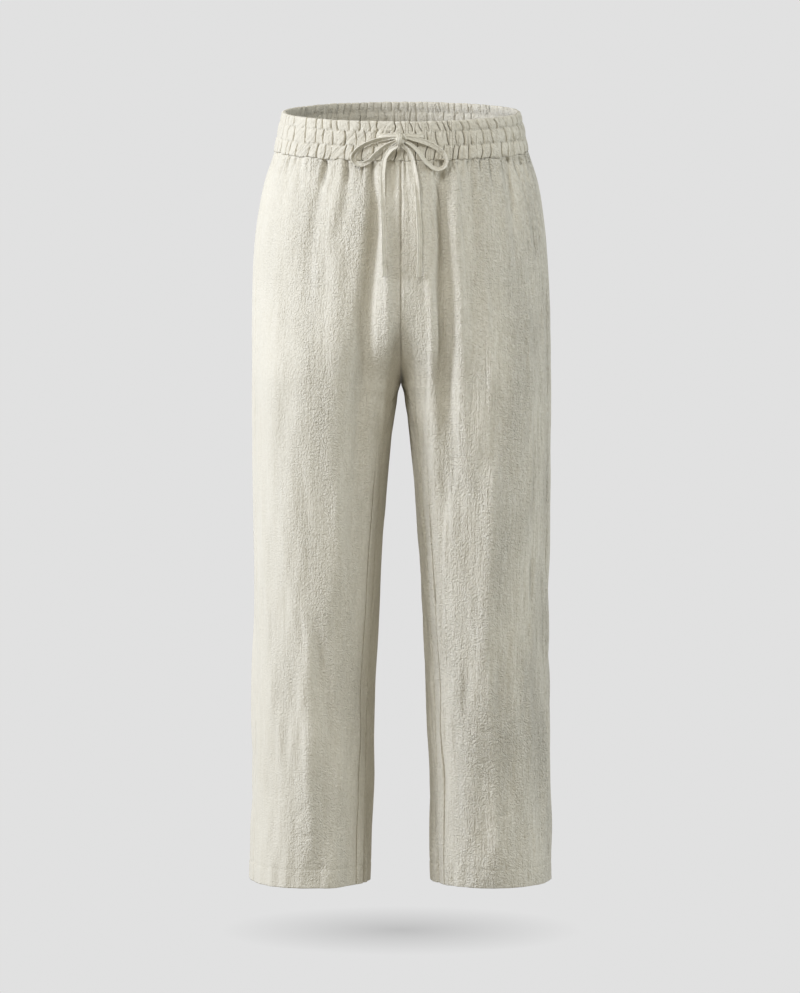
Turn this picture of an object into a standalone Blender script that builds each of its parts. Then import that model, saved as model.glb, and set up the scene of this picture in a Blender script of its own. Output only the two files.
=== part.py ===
"""Linen drawstring trousers in their worn shape, with no wearer in them.

+Z is up, the front faces -Y and +X is the wearer's left. The origin is the middle of the waist, at
the height of the drawstring. Sizes are in millimetres and are turned into metres as meshes are made.
Every panel is a wall of cloth lofted through horizontal sections, with the main folds pushed in or out.
"""

import math
from collections import namedtuple

import bpy
import numpy as np

MM = 0.001
OBJECT_NAME = "linen_drawstring_trousers"

# Cloth walls and the gaps between the pieces
CLOTH = 1.4
HEM_CLOTH = 2.6
HEM_TURN_UP = 24.0
SEAM_GAP = 0.3
BAND_CLOTH = 2.6

# Heights that the sections are named by, measured where the side of the garment is
RIM_Z = 27.0
BAND_SEAM_Z = -23.0
FORK_TOP_Z = -190.0
CROTCH_Z = -322.0
HEM_Z = -973.0

# The waist rises towards the back: height gained for each millimetre further back
WAIST_TILT = 0.077
TILT_ENDS_Z = -160.0
TILT_PASSES = 3

# Where the seams run round a leg, in degrees forward of its outer and inner points
SIDE_SEAM_AT_HIP = 13.0
SIDE_SEAM_AT_LEG = 18.0
INSEAM_AT_LEG = 28.0
INSEAM_SETTLES_Z = -350.0

# The worn outline. outer and inner are distances from the middle plane, front and back are depths from
# the leg's own middle, which lies at y = middle. The corners are squarer as round_out and round_in
# grow past 2.
Section = namedtuple("Section", "z outer inner front back middle round_out round_in")
SECTIONS = (
    Section(27, 152.4, 0.0, 107.5, 107.5, 0, 2.00, 2.4),
    Section(5, 157.6, 0.0, 109.0, 109.0, 0, 2.00, 2.4),
    Section(-23, 163.5, 0.0, 110.5, 111.5, 0, 2.02, 2.4),
    Section(-60, 174.4, 0.0, 113.5, 117.5, 0, 2.06, 2.4),
    Section(-100, 182.9, 0.0, 116.5, 124.0, 0, 2.10, 2.4),
    Section(-150, 189.2, 0.0, 118.0, 130.0, 0, 2.12, 2.4),
    Section(-200, 192.0, 0.0, 117.0, 132.0, -1, 2.14, 2.4),
    Section(-260, 193.1, 0.0, 110.0, 132.0, -5, 2.14, 2.5),
    Section(-322, 193.4, 0.4, 99.0, 131.0, -9, 2.14, 2.6),
    Section(-334, 193.3, 4.2, 98.0, 129.0, -9, 2.13, 2.6),
    Section(-350, 193.1, 6.4, 97.0, 126.0, -9, 2.12, 2.6),
    Section(-385, 193.1, 11.7, 95.5, 119.0, -8, 2.10, 2.5),
    Section(-463, 192.7, 18.4, 93.0, 108.0, -6, 2.06, 2.4),
    Section(-541, 191.6, 24.1, 90.5, 99.0, -4, 2.04, 2.3),
    Section(-620, 191.3, 28.5, 88.0, 92.5, -2, 2.02, 2.2),
    Section(-738, 193.2, 34.1, 84.0, 86.0, 0, 2.00, 2.1),
    Section(-857, 194.7, 36.7, 80.5, 82.0, 0, 2.00, 2.0),
    Section(-973, 197.0, 39.6, 79.0, 79.5, 0, 2.00, 2.0),
)

# Heights of the rows of points down a panel, from the band to the hem
PANEL_LEVELS = (
    -23, -36, -56, -85, -125, -165, -200, -240, -275, -300, -313, -322,
    -331, -346, -370, -415, -480, -560, -655, -760, -865, -949, -973,
)

# Columns of points across a panel. They follow a plumb line at split_x from the middle plane, with
# inner columns on its middle side and outer columns on its side seam side.
PanelGrid = namedtuple("PanelGrid", "split_x inner outer")
FRONT_GRID = PanelGrid(60.0, 10, 18)
BACK_GRID = PanelGrid(70.0, 13, 15)

# Folds as seen from the front or the back. Each runs from top down to foot, x is its distance from the
# middle plane, width is half its width and push is how far it stands out, or in where it is negative.
Fold = namedtuple(
    "Fold",
    "top foot x_top x_mid x_foot width_top width_foot push_top push_mid push_foot",
)
FOLD_FADE = 40.0
# A fold fades out where the cloth turns to the side: none of it below the first share of facing forward
# or back, all of it above the second
FOLD_FACING = (0.15, 0.75)

FRONT_RIGHT_FOLDS = (
    Fold(0, -75, 12, 12, 13, 6, 8, -4.0, -3.5, -2.0),
    Fold(-60, -430, 18, 17, 24, 8, 12, 2.5, 5.0, 2.0),
    Fold(0, -200, 37, 34, 42, 8, 15, -3.0, -9.0, -12.0),
    Fold(-200, -600, 42, 52, 60, 15, 29, -12.0, -8.0, -1.0),
    Fold(0, -140, 70, 70, 79, 6, 12, -3.5, -3.0, -1.0),
    Fold(-70, -430, 84, 83, 81, 14, 22, 1.5, 3.0, 2.0),
    Fold(0, -270, 94, 115, 121, 6, 16, -5.0, -3.5, -1.0),
    Fold(0, -80, 111, 113, 116, 5, 7, -2.5, -2.0, -1.0),
    Fold(0, -70, 127, 129, 131, 5, 7, -3.0, -2.5, -1.0),
    Fold(0, -75, 142, 144, 147, 5, 7, -3.0, -2.0, -1.0),
    Fold(-430, -600, 80, 80, 82, 12, 16, 2.5, 3.0, 1.5),
    Fold(-630, -780, 108, 100, 92, 9, 12, -1.5, -2.5, -1.0),
    Fold(-600, -940, 126, 118, 122, 16, 20, 2.5, 5.5, 2.5),
    Fold(-890, -985, 86, 86, 88, 18, 20, 2.0, 3.0, 3.0),
)
FRONT_LEFT_FOLDS = (
    Fold(-40, -170, 17, 20, 20, 8, 8, 2.0, 2.0, 1.0),
    Fold(-180, -450, 37, 42, 42, 8, 12, 3.5, 5.0, 2.0),
    Fold(0, -240, 49, 54, 59, 8, 16, -4.0, -11.0, -12.0),
    Fold(-240, -480, 59, 62, 62, 16, 24, -12.0, -9.0, -3.0),
    Fold(0, -80, 62, 62, 63, 6, 7, -3.0, -3.0, -1.0),
    Fold(-40, -200, 69, 70, 74, 9, 12, 3.0, 4.0, 4.0),
    Fold(-200, -440, 74, 76, 79, 12, 16, 4.0, 4.0, 2.5),
    Fold(0, -60, 77, 77, 78, 5, 6, -2.5, -2.0, -1.0),
    Fold(0, -160, 88, 92, 95, 6, 10, -3.0, -2.5, -1.5),
    Fold(0, -70, 105, 106, 109, 5, 7, -2.5, -2.0, -1.0),
    Fold(-170, -410, 107, 115, 114, 7, 9, 2.0, 2.5, 1.0),
    Fold(0, -70, 118, 120, 122, 5, 7, -2.5, -2.0, -1.0),
    Fold(0, -110, 131, 136, 142, 6, 9, -5.0, -4.0, -1.5),
    Fold(0, -60, 146, 147, 149, 5, 6, -2.5, -2.0, -1.0),
    Fold(-430, -520, 53, 53, 53, 9, 11, -2.5, -2.5, -1.0),
    Fold(-430, -640, 117, 113, 108, 16, 18, 4.0, 5.0, 5.0),
    Fold(-640, -860, 108, 99, 83, 18, 20, 5.0, 4.0, 2.5),
    Fold(-655, -760, 124, 125, 126, 9, 10, -2.0, -2.5, -1.0),
    Fold(-890, -960, 128, 127, 126, 16, 18, 2.0, 3.0, 2.5),
)
BACK_RIGHT_FOLDS = (
    Fold(0, -90, 13, 14, 16, 6, 9, -3.5, -3.0, -1.0),
    Fold(0, -70, 29, 30, 32, 5, 7, -3.0, -2.0, -1.0),
    Fold(0, -420, 45, 47, 52, 7, 20, -3.5, -5.5, -5.0),
    Fold(0, -80, 62, 63, 66, 5, 8, -3.0, -2.5, -1.0),
    Fold(-100, -430, 76, 79, 81, 14, 20, 2.0, 3.0, 3.0),
    Fold(0, -120, 81, 84, 88, 6, 10, -4.0, -3.0, -1.0),
    Fold(0, -70, 99, 100, 103, 5, 7, -2.5, -2.0, -1.0),
    Fold(0, -130, 114, 118, 124, 6, 10, -4.0, -3.0, -1.0),
    Fold(0, -80, 133, 136, 139, 5, 7, -3.0, -2.0, -1.0),
    Fold(-440, -700, 102, 96, 90, 16, 18, -2.0, -3.5, -1.0),
    Fold(-480, -800, 60, 66, 76, 16, 18, 2.0, 3.5, 2.0),
    Fold(-830, -960, 112, 114, 116, 16, 18, 1.0, 3.0, 2.0),
)
BACK_LEFT_FOLDS = (
    Fold(0, -80, 16, 17, 19, 6, 8, -3.0, -2.5, -1.0),
    Fold(0, -100, 33, 35, 38, 6, 9, -4.0, -3.0, -1.0),
    Fold(0, -70, 50, 51, 53, 5, 7, -2.5, -2.0, -1.0),
    Fold(-60, -440, 56, 54, 50, 12, 20, -2.0, -6.0, -4.0),
    Fold(0, -110, 68, 70, 73, 6, 9, -4.0, -3.0, -1.0),
    Fold(-120, -420, 88, 88, 86, 14, 20, 2.0, 3.5, 2.5),
    Fold(0, -80, 88, 90, 93, 5, 8, -3.0, -2.0, -1.0),
    Fold(0, -140, 106, 110, 116, 6, 10, -4.0, -3.0, -1.0),
    Fold(0, -70, 124, 126, 129, 5, 7, -2.5, -2.0, -1.0),
    Fold(0, -90, 141, 143, 147, 5, 8, -3.0, -2.0, -1.0),
    Fold(-450, -660, 92, 90, 84, 16, 20, -2.0, -3.5, -1.0),
    Fold(-500, -820, 118, 112, 102, 16, 18, 2.0, 3.5, 2.0),
    Fold(-850, -965, 78, 80, 82, 16, 18, 1.0, 3.0, 2.0),
)

# The pocket mouths lie in the side seams: the front panel's edge stands a little open there
POCKET_TOP_Z = -44.0
POCKET_FOOT_Z = -186.0
POCKET_FADE = 14.0
POCKET_LIP = 2.4
POCKET_LIP_WIDTH = 11.0
FACING_FRONT = 30.0
FACING_BACK = 9.0
FACING_CLOTH = 1.1
FACING_GAP = 0.6
FACING_COLUMNS = 4
FACING_LEVELS = (-36, -56, -85, -125, -165, -200)

# The waistband: an elastic tunnel gathered into puffs, with two stitched rows that part it in three.
# puff is how deep the gathers are at that row, swell moves the row out, and lean slides it round.
GATHERS = 60
COLUMNS_PER_GATHER = 4
PUFF_ROUNDNESS = 0.8
# Two waves that make the gathers uneven: size in gathers, waves in a whole turn, start in radians
UnevenWave = namedtuple("UnevenWave", "size waves start")
UNEVEN_WAVES = (UnevenWave(0.42, 9, 0.0), UnevenWave(0.30, 17, 1.3))
BandRow = namedtuple("BandRow", "z puff swell lean")
BAND_OUTSIDE = (
    BandRow(RIM_Z, 1.6, -0.6, -2.4),
    BandRow(21.0, 2.6, 0.6, -1.4),
    BandRow(14.0, 1.2, -1.0, 0.0),
    BandRow(5.0, 2.8, 1.0, 0.8),
    BandRow(-4.5, 1.3, -0.9, 0.0),
    BandRow(-14.0, 2.6, 0.6, -1.4),
    BandRow(BAND_SEAM_Z + SEAM_GAP, 1.4, -0.6, 0.0),
)
BAND_INSIDE = (
    BandRow(BAND_SEAM_Z + SEAM_GAP, 0.9, -0.9, 0.0),
    BandRow(RIM_Z, 0.9, -0.6, -2.4),
)

# The drawstring: a flat tape of the same linen, tied in a bow
TAPE_THICKNESS = 1.8
TAPE_RING_STEP = 6.0
TAPE_SAMPLE = 0.1
KNOT_X = -1.0
KNOT_Z = -3.6
KNOT_OFF = 7.0
KNOT_SIZE = (12.0, 10.0, 15.0)
KNOT_SEGMENTS = 14
KNOT_RINGS = 9

# Routes over the front of the garment. off is how far the tape's middle stands off the cloth, and turn
# is how far its flat side is turned away from straight ahead, in degrees. A route that starts or ends
# inside the knot is cut back to the knot's skin.
Stop = namedtuple("Stop", "x z off turn width")
LEFT_LOOP = (
    Stop(0.0, -2.4, 7.6, 20, 4.6),
    Stop(7.4, -1.2, 8.8, 20, 5.0),
    Stop(16, -3.0, 10.0, 30, 7.2),
    Stop(28, -6.5, 10.5, 25, 7.5),
    Stop(41, -12, 9.5, 25, 7.5),
    Stop(52, -20, 8.5, 45, 7.5),
    Stop(58, -30, 8.0, 60, 7.5),
    Stop(55.5, -38.5, 7.5, 60, 7.5),
    Stop(47.5, -42, 7.5, 45, 7.5),
    Stop(38, -38.5, 7.5, 40, 7.5),
    Stop(29, -29, 7.5, 35, 7.5),
    Stop(21.5, -19, 7.0, 30, 7.2),
    Stop(13.5, -11.5, 6.5, 30, 6.0),
    Stop(7.0, -7.4, 6.2, 25, 4.4),
    Stop(0.5, -5.0, 6.4, 25, 4.2),
)
RIGHT_LOOP = (
    Stop(-2.0, -2.4, 7.6, -20, 4.6),
    Stop(-8.8, -1.2, 8.8, -20, 5.0),
    Stop(-18, -2.0, 10.0, -30, 7.2),
    Stop(-31, -4.5, 10.5, -25, 7.5),
    Stop(-45, -9.5, 9.5, -25, 7.5),
    Stop(-57, -18, 8.5, -45, 7.5),
    Stop(-62, -27, 8.0, -60, 7.5),
    Stop(-58.5, -33.5, 7.5, -60, 7.5),
    Stop(-51, -35.5, 7.5, -45, 7.5),
    Stop(-42, -32, 7.5, -40, 7.5),
    Stop(-33.5, -23.5, 7.5, -35, 7.5),
    Stop(-24, -14.5, 7.0, -30, 7.2),
    Stop(-15, -9.0, 6.5, -30, 6.0),
    Stop(-8.8, -6.8, 6.2, -25, 4.4),
    Stop(-2.5, -5.0, 6.4, -25, 4.2),
)
LEFT_TAIL = (
    Stop(-0.2, -7.2, 8.0, 5, 4.4),
    Stop(3.2, -12.2, 9.6, 10, 4.8),
    Stop(9, -17.5, 10.5, 25, 6.4),
    Stop(14, -27, 10.0, 25, 7.0),
    Stop(17.5, -41, 8.5, 20, 7.0),
    Stop(20, -62, 7.5, 15, 7.0),
    Stop(21.5, -90, 7.0, 20, 7.0),
    Stop(23.3, -118, 7.0, 25, 7.0),
    Stop(24.2, -148, 7.0, 15, 7.0),
    Stop(22.9, -179, 7.5, 0, 7.2),
)
RIGHT_TAIL = (
    Stop(-2.0, -7.2, 8.0, -5, 4.4),
    Stop(-5.8, -12.2, 9.2, -10, 4.8),
    Stop(-13, -17, 10.0, -30, 6.4),
    Stop(-19.5, -26, 9.5, -30, 7.2),
    Stop(-22.5, -40, 8.5, -20, 7.5),
    Stop(-23.4, -62, 8.5, -10, 7.5),
    Stop(-23.6, -90, 9.5, -15, 7.2),
    Stop(-22.8, -118, 9.5, -35, 7.0),
    Stop(-22.0, -148, 9.5, -45, 7.0),
    Stop(-21.4, -177, 9.5, -30, 7.0),
)
LEFT_LEAD = (
    Stop(28.6, 0.2, 1.5, 0, 7.0),
    Stop(27.0, 0.3, 3.0, 0, 7.0),
    Stop(22.0, 0.7, 4.3, 0, 6.6),
    Stop(14.0, 1.4, 5.0, 0, 5.6),
    Stop(7.0, 1.6, 5.2, 0, 4.6),
    Stop(0.5, 0.0, 5.6, 0, 4.4),
)
RIGHT_LEAD = (
    Stop(-28.6, 0.2, -0.1, 0, 7.0),
    Stop(-27.0, 0.3, 2.3, 0, 7.0),
    Stop(-23.0, 0.7, 4.3, 0, 6.6),
    Stop(-15.5, 1.4, 5.0, 0, 5.6),
    Stop(-8.6, 1.6, 5.2, 0, 4.6),
    Stop(-2.5, 0.0, 5.6, 0, 4.4),
)

# Points that a curve is read at, and the angle past which an edge is drawn sharp
HALF_RING_SAMPLES = 721
WAIST_SAMPLES = 4001
SHARP_EDGE_ANGLE = 50.0
HalfRing = namedtuple("HalfRing", "arc x y out_x out_y side_seam front_split back_split")

LINEN_COLOUR = (0.70, 0.655, 0.55, 1.0)
TAPE_COLOUR = (0.74, 0.70, 0.60, 1.0)


def clear_scene():
    for obj in list(bpy.data.objects):
        bpy.data.objects.remove(obj)


def smoothstep(low, high, at):
    t = np.clip((at - low) / (high - low), 0.0, 1.0)
    return t * t * (3 - 2 * t)


def smooth_through(keys, values, at):
    """A smooth curve through values at rising keys, read at any key and level past both ends."""
    keys = np.asarray(keys, float)
    values = np.asarray(values, float)
    slopes = np.gradient(values, keys)
    at = np.clip(at, keys[0], keys[-1])
    k = np.clip(np.searchsorted(keys, at) - 1, 0, len(keys) - 2)
    step = keys[k + 1] - keys[k]
    t = (at - keys[k]) / step
    start = (1 + 2 * t) * (1 - t) ** 2 * values[k] + t * (1 - t) ** 2 * step * slopes[k]
    end = t * t * (3 - 2 * t) * values[k + 1] + t * t * (t - 1) * step * slopes[k + 1]
    return start + end


def section_at(level):
    """The worn outline's sizes at a height, read smoothly between the rows of SECTIONS."""
    rows = sorted(SECTIONS)
    heights = [row.z for row in rows]
    columns = zip(*rows)
    return Section(*(float(smooth_through(heights, column, level)) for column in columns))


def fork_angle(level):
    """How far round a leg has closed on itself at a height: 0 degrees at the hip and 90 from the crotch
    down. Its cosine falls slowly at first and then faster, which gives the curve of the crotch seam."""
    down = float(np.clip((FORK_TOP_Z - level) / (FORK_TOP_Z - CROTCH_Z), 0.0, 1.0))
    return math.degrees(math.acos(1 - down**3))


def outline(level, degrees):
    """Points (x, y) of the wearer's left half at a height. -90 degrees is the front of the leg, 0 its
    outer side and 90 its back. The half is open towards the middle plane above the crotch."""
    size = section_at(level)
    closed = math.sin(math.radians(fork_angle(level)))
    leg_centre = (size.outer + size.inner) / 2
    inner_reach = leg_centre - size.inner
    centre = leg_centre if level <= CROTCH_Z else inner_reach * closed ** (2 / size.round_in)
    angle = np.radians(degrees)
    across, along = np.cos(angle), np.sin(angle)
    power = np.where(across >= 0, 2 / size.round_out, 2 / size.round_in)
    reach = np.where(across >= 0, size.outer - centre, -inner_reach)
    depth = np.where(along >= 0, size.back, -size.front)
    x = centre + reach * np.abs(across) ** power
    y = size.middle + depth * np.abs(along) ** power
    return np.maximum(x, SEAM_GAP / 2), y


def end_angles(level):
    """The angles where the half outline starts and ends: the middle seams, or the inseam of a leg."""
    if level >= CROTCH_Z:
        return -90 - fork_angle(level), 90 + fork_angle(level)
    forward = INSEAM_AT_LEG * float(smoothstep(CROTCH_Z, INSEAM_SETTLES_Z, level))
    return -180 + forward, 180 + forward


def side_seam_angle(level):
    return -float(smooth_through((CROTCH_Z, FORK_TOP_Z), (SIDE_SEAM_AT_LEG, SIDE_SEAM_AT_HIP), level))


def fold_push(folds, x, level):
    """How far a list of folds moves the cloth out at distances x from the middle plane."""
    push = np.zeros_like(x)
    for fold in folds:
        shown = smoothstep(fold.foot - FOLD_FADE / 2, fold.foot + FOLD_FADE / 2, level)
        shown *= 1 - smoothstep(fold.top - FOLD_FADE / 2, fold.top + FOLD_FADE / 2, level)
        if shown == 0:
            continue
        down = np.clip((fold.top - level) / (fold.top - fold.foot), 0, 1)
        stops = (0, 0.5, 1)
        place = smooth_through(stops, (fold.x_top, fold.x_mid, fold.x_foot), down)
        height = smooth_through(stops, (fold.push_top, fold.push_mid, fold.push_foot), down)
        width = fold.width_top + (fold.width_foot - fold.width_top) * down
        push += shown * height * np.exp(-2 * ((x - place) / width) ** 2)
    return push


def outward(x, y):
    """Unit normals of a horizontal curve that runs from the front round the outer side to the back."""
    along_x, along_y = np.gradient(x), np.gradient(y)
    length = np.hypot(along_x, along_y)
    return along_y / length, -along_x / length


def half_ring(level, front_folds, back_folds):
    """The cloth's outer line round one half at a height, with its folds, its normals and its seam."""
    start, end = end_angles(level)
    degrees = np.linspace(start, end, HALF_RING_SAMPLES)
    x, y = outline(level, degrees)
    plain_x = x
    out_x, out_y = outward(x, y)
    push = fold_push(front_folds, x, level) * smoothstep(*FOLD_FACING, -out_y)
    push += fold_push(back_folds, x, level) * smoothstep(*FOLD_FACING, out_y)
    x = np.maximum(x + push * out_x, SEAM_GAP / 2)
    y = y + push * out_y
    out_x, out_y = outward(x, y)
    arc = np.concatenate([[0], np.cumsum(np.hypot(np.diff(x), np.diff(y)))])
    side_seam = float(np.interp(side_seam_angle(level), degrees, arc))
    ahead = degrees <= 0
    behind = (degrees >= 0) & (degrees <= 180)
    front_split = float(np.interp(FRONT_GRID.split_x, plain_x[ahead], arc[ahead]))
    back_split = float(np.interp(BACK_GRID.split_x, plain_x[behind][::-1], arc[behind][::-1]))
    return HalfRing(arc, x, y, out_x, out_y, side_seam, front_split, back_split)


def tilted(level, y):
    """The real height of a point of a level that tilts with the waist."""
    return level + WAIST_TILT * y * smoothstep(TILT_ENDS_Z, BAND_SEAM_Z, level)


def wall_thickness(level):
    """The panels' cloth, doubled over at the hem."""
    return CLOTH if level > HEM_Z + HEM_TURN_UP else HEM_CLOTH


def row_of_wall(ring, arcs, level, outer_off, thickness):
    """One row of a wall: its outer and inner points at distances along the ring, as (n, 3) arrays."""
    x, y, out_x, out_y = (
        np.interp(arcs, ring.arc, values) for values in (ring.x, ring.y, ring.out_x, ring.out_y)
    )
    height = tilted(level, y)
    sides = []
    for off in (outer_off, outer_off - thickness):
        moved_x = np.maximum(x + off * out_x, SEAM_GAP / 2)
        sides.append(np.column_stack([moved_x, y + off * out_y, height]))
    return sides


def pocket_lip(level, from_seam):
    """How far the front panel's edge stands open, at distances from the side seam."""
    window = smoothstep(POCKET_FOOT_Z - POCKET_FADE, POCKET_FOOT_Z + POCKET_FADE, level)
    window *= 1 - smoothstep(POCKET_TOP_Z - POCKET_FADE, POCKET_TOP_Z + POCKET_FADE, level)
    return POCKET_LIP * window * (1 - smoothstep(0, POCKET_LIP_WIDTH, from_seam))


def column_arcs(start, split, end, first_count, last_count):
    """Distances along a ring for a panel's columns, evenly spaced on each side of the split."""
    first = np.linspace(start, split, first_count + 1)
    last = np.linspace(split, end, last_count + 1)
    return np.concatenate([first, last[1:]])


def front_panel_rows(front_folds, back_folds):
    outer, inner = [], []
    for level in PANEL_LEVELS:
        ring = half_ring(level, front_folds, back_folds)
        start = 0 if level > CROTCH_Z else SEAM_GAP / 2
        end = ring.side_seam - SEAM_GAP / 2
        arcs = column_arcs(start, ring.front_split, end, FRONT_GRID.inner, FRONT_GRID.outer)
        lip = pocket_lip(level, ring.side_seam - arcs)
        outside, inside = row_of_wall(ring, arcs, level, lip, wall_thickness(level))
        outer.append(outside)
        inner.append(inside)
    return outer, inner


def back_panel_rows(front_folds, back_folds):
    outer, inner = [], []
    for level in PANEL_LEVELS:
        ring = half_ring(level, front_folds, back_folds)
        start = ring.side_seam + SEAM_GAP / 2
        end = ring.arc[-1] if level > CROTCH_Z else ring.arc[-1] - SEAM_GAP / 2
        arcs = column_arcs(start, ring.back_split, end, BACK_GRID.outer, BACK_GRID.inner)
        outside, inside = row_of_wall(ring, arcs, level, 0.0, wall_thickness(level))
        outer.append(outside)
        inner.append(inside)
    return outer, inner


def facing_rows(front_folds, back_folds):
    """The strip behind a pocket mouth, under both panels and clear of their walls."""
    outer, inner = [], []
    for level in FACING_LEVELS:
        ring = half_ring(level, front_folds, back_folds)
        arcs = ring.side_seam + np.linspace(-FACING_FRONT, FACING_BACK, FACING_COLUMNS + 1)
        outside, inside = row_of_wall(ring, arcs, level, -CLOTH - FACING_GAP, FACING_CLOTH)
        outer.append(outside)
        inner.append(inside)
    return outer, inner


def add_object(name, points, faces, material, collection):
    """One closed piece from points in millimetres, its faces turned outwards."""
    mesh = bpy.data.meshes.new(name)
    mesh.from_pydata([tuple(MM * float(value) for value in point) for point in points], [], faces)
    mesh.materials.append(material)
    mesh.shade_smooth()
    mesh.set_sharp_from_angle(angle=math.radians(SHARP_EDGE_ANGLE))
    obj = bpy.data.objects.new(name, mesh)
    collection.objects.link(obj)
    return obj


def loft_wall(name, outer, inner, mirrored, material, collection):
    """A closed wall of cloth between rows of outer and inner points, edged all round."""
    rows, columns = len(outer), len(outer[0])
    points = np.concatenate([np.concatenate(outer), np.concatenate(inner)])
    inside = rows * columns
    faces = []
    for r in range(rows - 1):
        for c in range(columns - 1):
            a, b = r * columns + c, r * columns + c + 1
            d, e = a + columns, b + columns
            faces.append((a, d, e, b))
            faces.append((inside + a, inside + b, inside + e, inside + d))
    top = list(range(columns))
    foot = [(rows - 1) * columns + c for c in range(columns)]
    first = [r * columns for r in range(rows)]
    last = [r * columns + columns - 1 for r in range(rows)]
    for edge, forward in ((top, True), (foot, False), (first, False), (last, True)):
        for a, b in zip(edge, edge[1:]):
            face = (a, b, inside + b, inside + a)
            faces.append(face if forward else face[::-1])
    if mirrored:
        points = points * (-1, 1, 1)
        faces = [face[::-1] for face in faces]
    return add_object(name, points, faces, material, collection)


def gather_columns():
    """Places round the waist, as shares of a turn, where the gathers' columns stand, and their puff
    from 0 in a crease to 1 on a crest. The gathers are uneven, as hand-fed elastic leaves them."""
    share = np.linspace(0, 1, WAIST_SAMPLES)
    uneven = sum(wave.size * np.sin(2 * math.pi * wave.waves * share + wave.start) for wave in UNEVEN_WAVES)
    phase = GATHERS * share + uneven - uneven[0]
    wanted = np.arange(GATHERS * COLUMNS_PER_GATHER) / COLUMNS_PER_GATHER
    return np.interp(wanted, phase, share), np.abs(np.sin(math.pi * wanted)) ** PUFF_ROUNDNESS


def waist_ring(level, share, lean, swell):
    """Points round the whole waist at shares of a turn from the front middle, by way of +X."""
    degrees = np.linspace(-90, 90, HALF_RING_SAMPLES)
    x, y = outline(level, degrees)
    x = np.concatenate([x, -x[::-1][1:]])
    y = np.concatenate([y, y[::-1][1:]])
    out_x, out_y = outward(x, y)
    arc = np.concatenate([[0], np.cumsum(np.hypot(np.diff(x), np.diff(y)))])
    at = (share * arc[-1] + lean) % arc[-1]
    x, y, out_x, out_y = (np.interp(at, arc, values) for values in (x, y, out_x, out_y))
    x, y = x + swell * out_x, y + swell * out_y
    return np.column_stack([x, y, tilted(level, y)])


def add_waistband(material, collection):
    """One gathered ring of cloth: rows down its outside and back up its inside, closed on itself."""
    share, puff = gather_columns()
    rows = []
    for row in BAND_OUTSIDE:
        rows.append(waist_ring(row.z, share, row.lean, row.swell - row.puff * (1 - puff)))
    for row in BAND_INSIDE:
        rows.append(waist_ring(row.z, share, row.lean, row.swell - row.puff * (1 - puff) - BAND_CLOTH))
    count = len(share)
    faces = []
    for r in range(len(rows)):
        below = (r + 1) % len(rows)
        for c in range(count):
            beside = (c + 1) % count
            faces.append((r * count + c, below * count + c, below * count + beside, r * count + beside))
    return add_object("waistband", np.concatenate(rows), faces, material, collection)


def front_face(x, z):
    """The depth of the garment's front at a place seen from the front, before its folds."""
    y = -section_at(z).front
    for _ in range(TILT_PASSES):
        level = z - float(WAIST_TILT * y * smoothstep(TILT_ENDS_Z, BAND_SEAM_Z, z))
        size = section_at(level)
        y = -size.front * (1 - (abs(x) / size.outer) ** size.round_out) ** (1 / size.round_out)
    return y


def knot_centre():
    return np.array((KNOT_X, front_face(KNOT_X, KNOT_Z) - KNOT_OFF, KNOT_Z))


def is_clear_of_knot(points):
    """Whether all these points lie a seam's gap or more outside the knot."""
    reach = np.array(KNOT_SIZE) / 2 + SEAM_GAP
    return bool((np.linalg.norm((points - knot_centre()) / reach, axis=1) > 1).all())


def tape_rings(stops):
    """The six-sided sections of a flat tape along a smooth route, from knot skin to knot skin or end."""
    centres = np.array([(s.x, front_face(s.x, s.z) - s.off, s.z) for s in stops])
    gone = np.concatenate([[0], np.cumsum(np.linalg.norm(np.diff(centres, axis=0), axis=1))])
    at = np.arange(0, gone[-1], TAPE_SAMPLE)
    points = np.column_stack([smooth_through(gone, centres[:, axis], at) for axis in range(3)])
    turns = np.radians(smooth_through(gone, [s.turn for s in stops], at))
    widths = smooth_through(gone, [s.width for s in stops], at)
    tangents = np.gradient(points, axis=0)
    tangents /= np.linalg.norm(tangents, axis=1, keepdims=True)
    thick = TAPE_THICKNESS / 2
    rings = []
    for centre, tangent, turn, width in zip(points, tangents, turns, widths / 2):
        across = np.cross((0.0, -1.0, 0.0), tangent)
        across /= np.linalg.norm(across)
        face = np.cross(tangent, across)
        side = math.cos(turn) * across + math.sin(turn) * face
        flat = math.cos(turn) * face - math.sin(turn) * across
        edge = width - thick
        corners = ((-width, 0), (-edge, thick), (edge, thick), (width, 0), (edge, -thick), (-edge, -thick))
        rings.append(np.array([centre + u * side + v * flat for u, v in corners]))
    clear = [k for k, ring in enumerate(rings) if is_clear_of_knot(ring)]
    first, last = clear[0], clear[-1]
    count = max(4, round((last - first) * TAPE_SAMPLE / TAPE_RING_STEP)) + 1
    return [rings[k] for k in np.linspace(first, last, count).round().astype(int)]


def add_tape(name, stops, material, collection):
    """A flat tape along a route, capped at both ends."""
    rings = tape_rings(stops)
    count = len(rings[0])
    faces = [tuple(range(count)), tuple(range((len(rings) - 1) * count, len(rings) * count))[::-1]]
    for r in range(len(rings) - 1):
        for c in range(count):
            beside = (c + 1) % count
            faces.append((r * count + c, (r + 1) * count + c, (r + 1) * count + beside, r * count + beside))
    return add_object(name, np.concatenate(rings), faces, material, collection)


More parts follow.
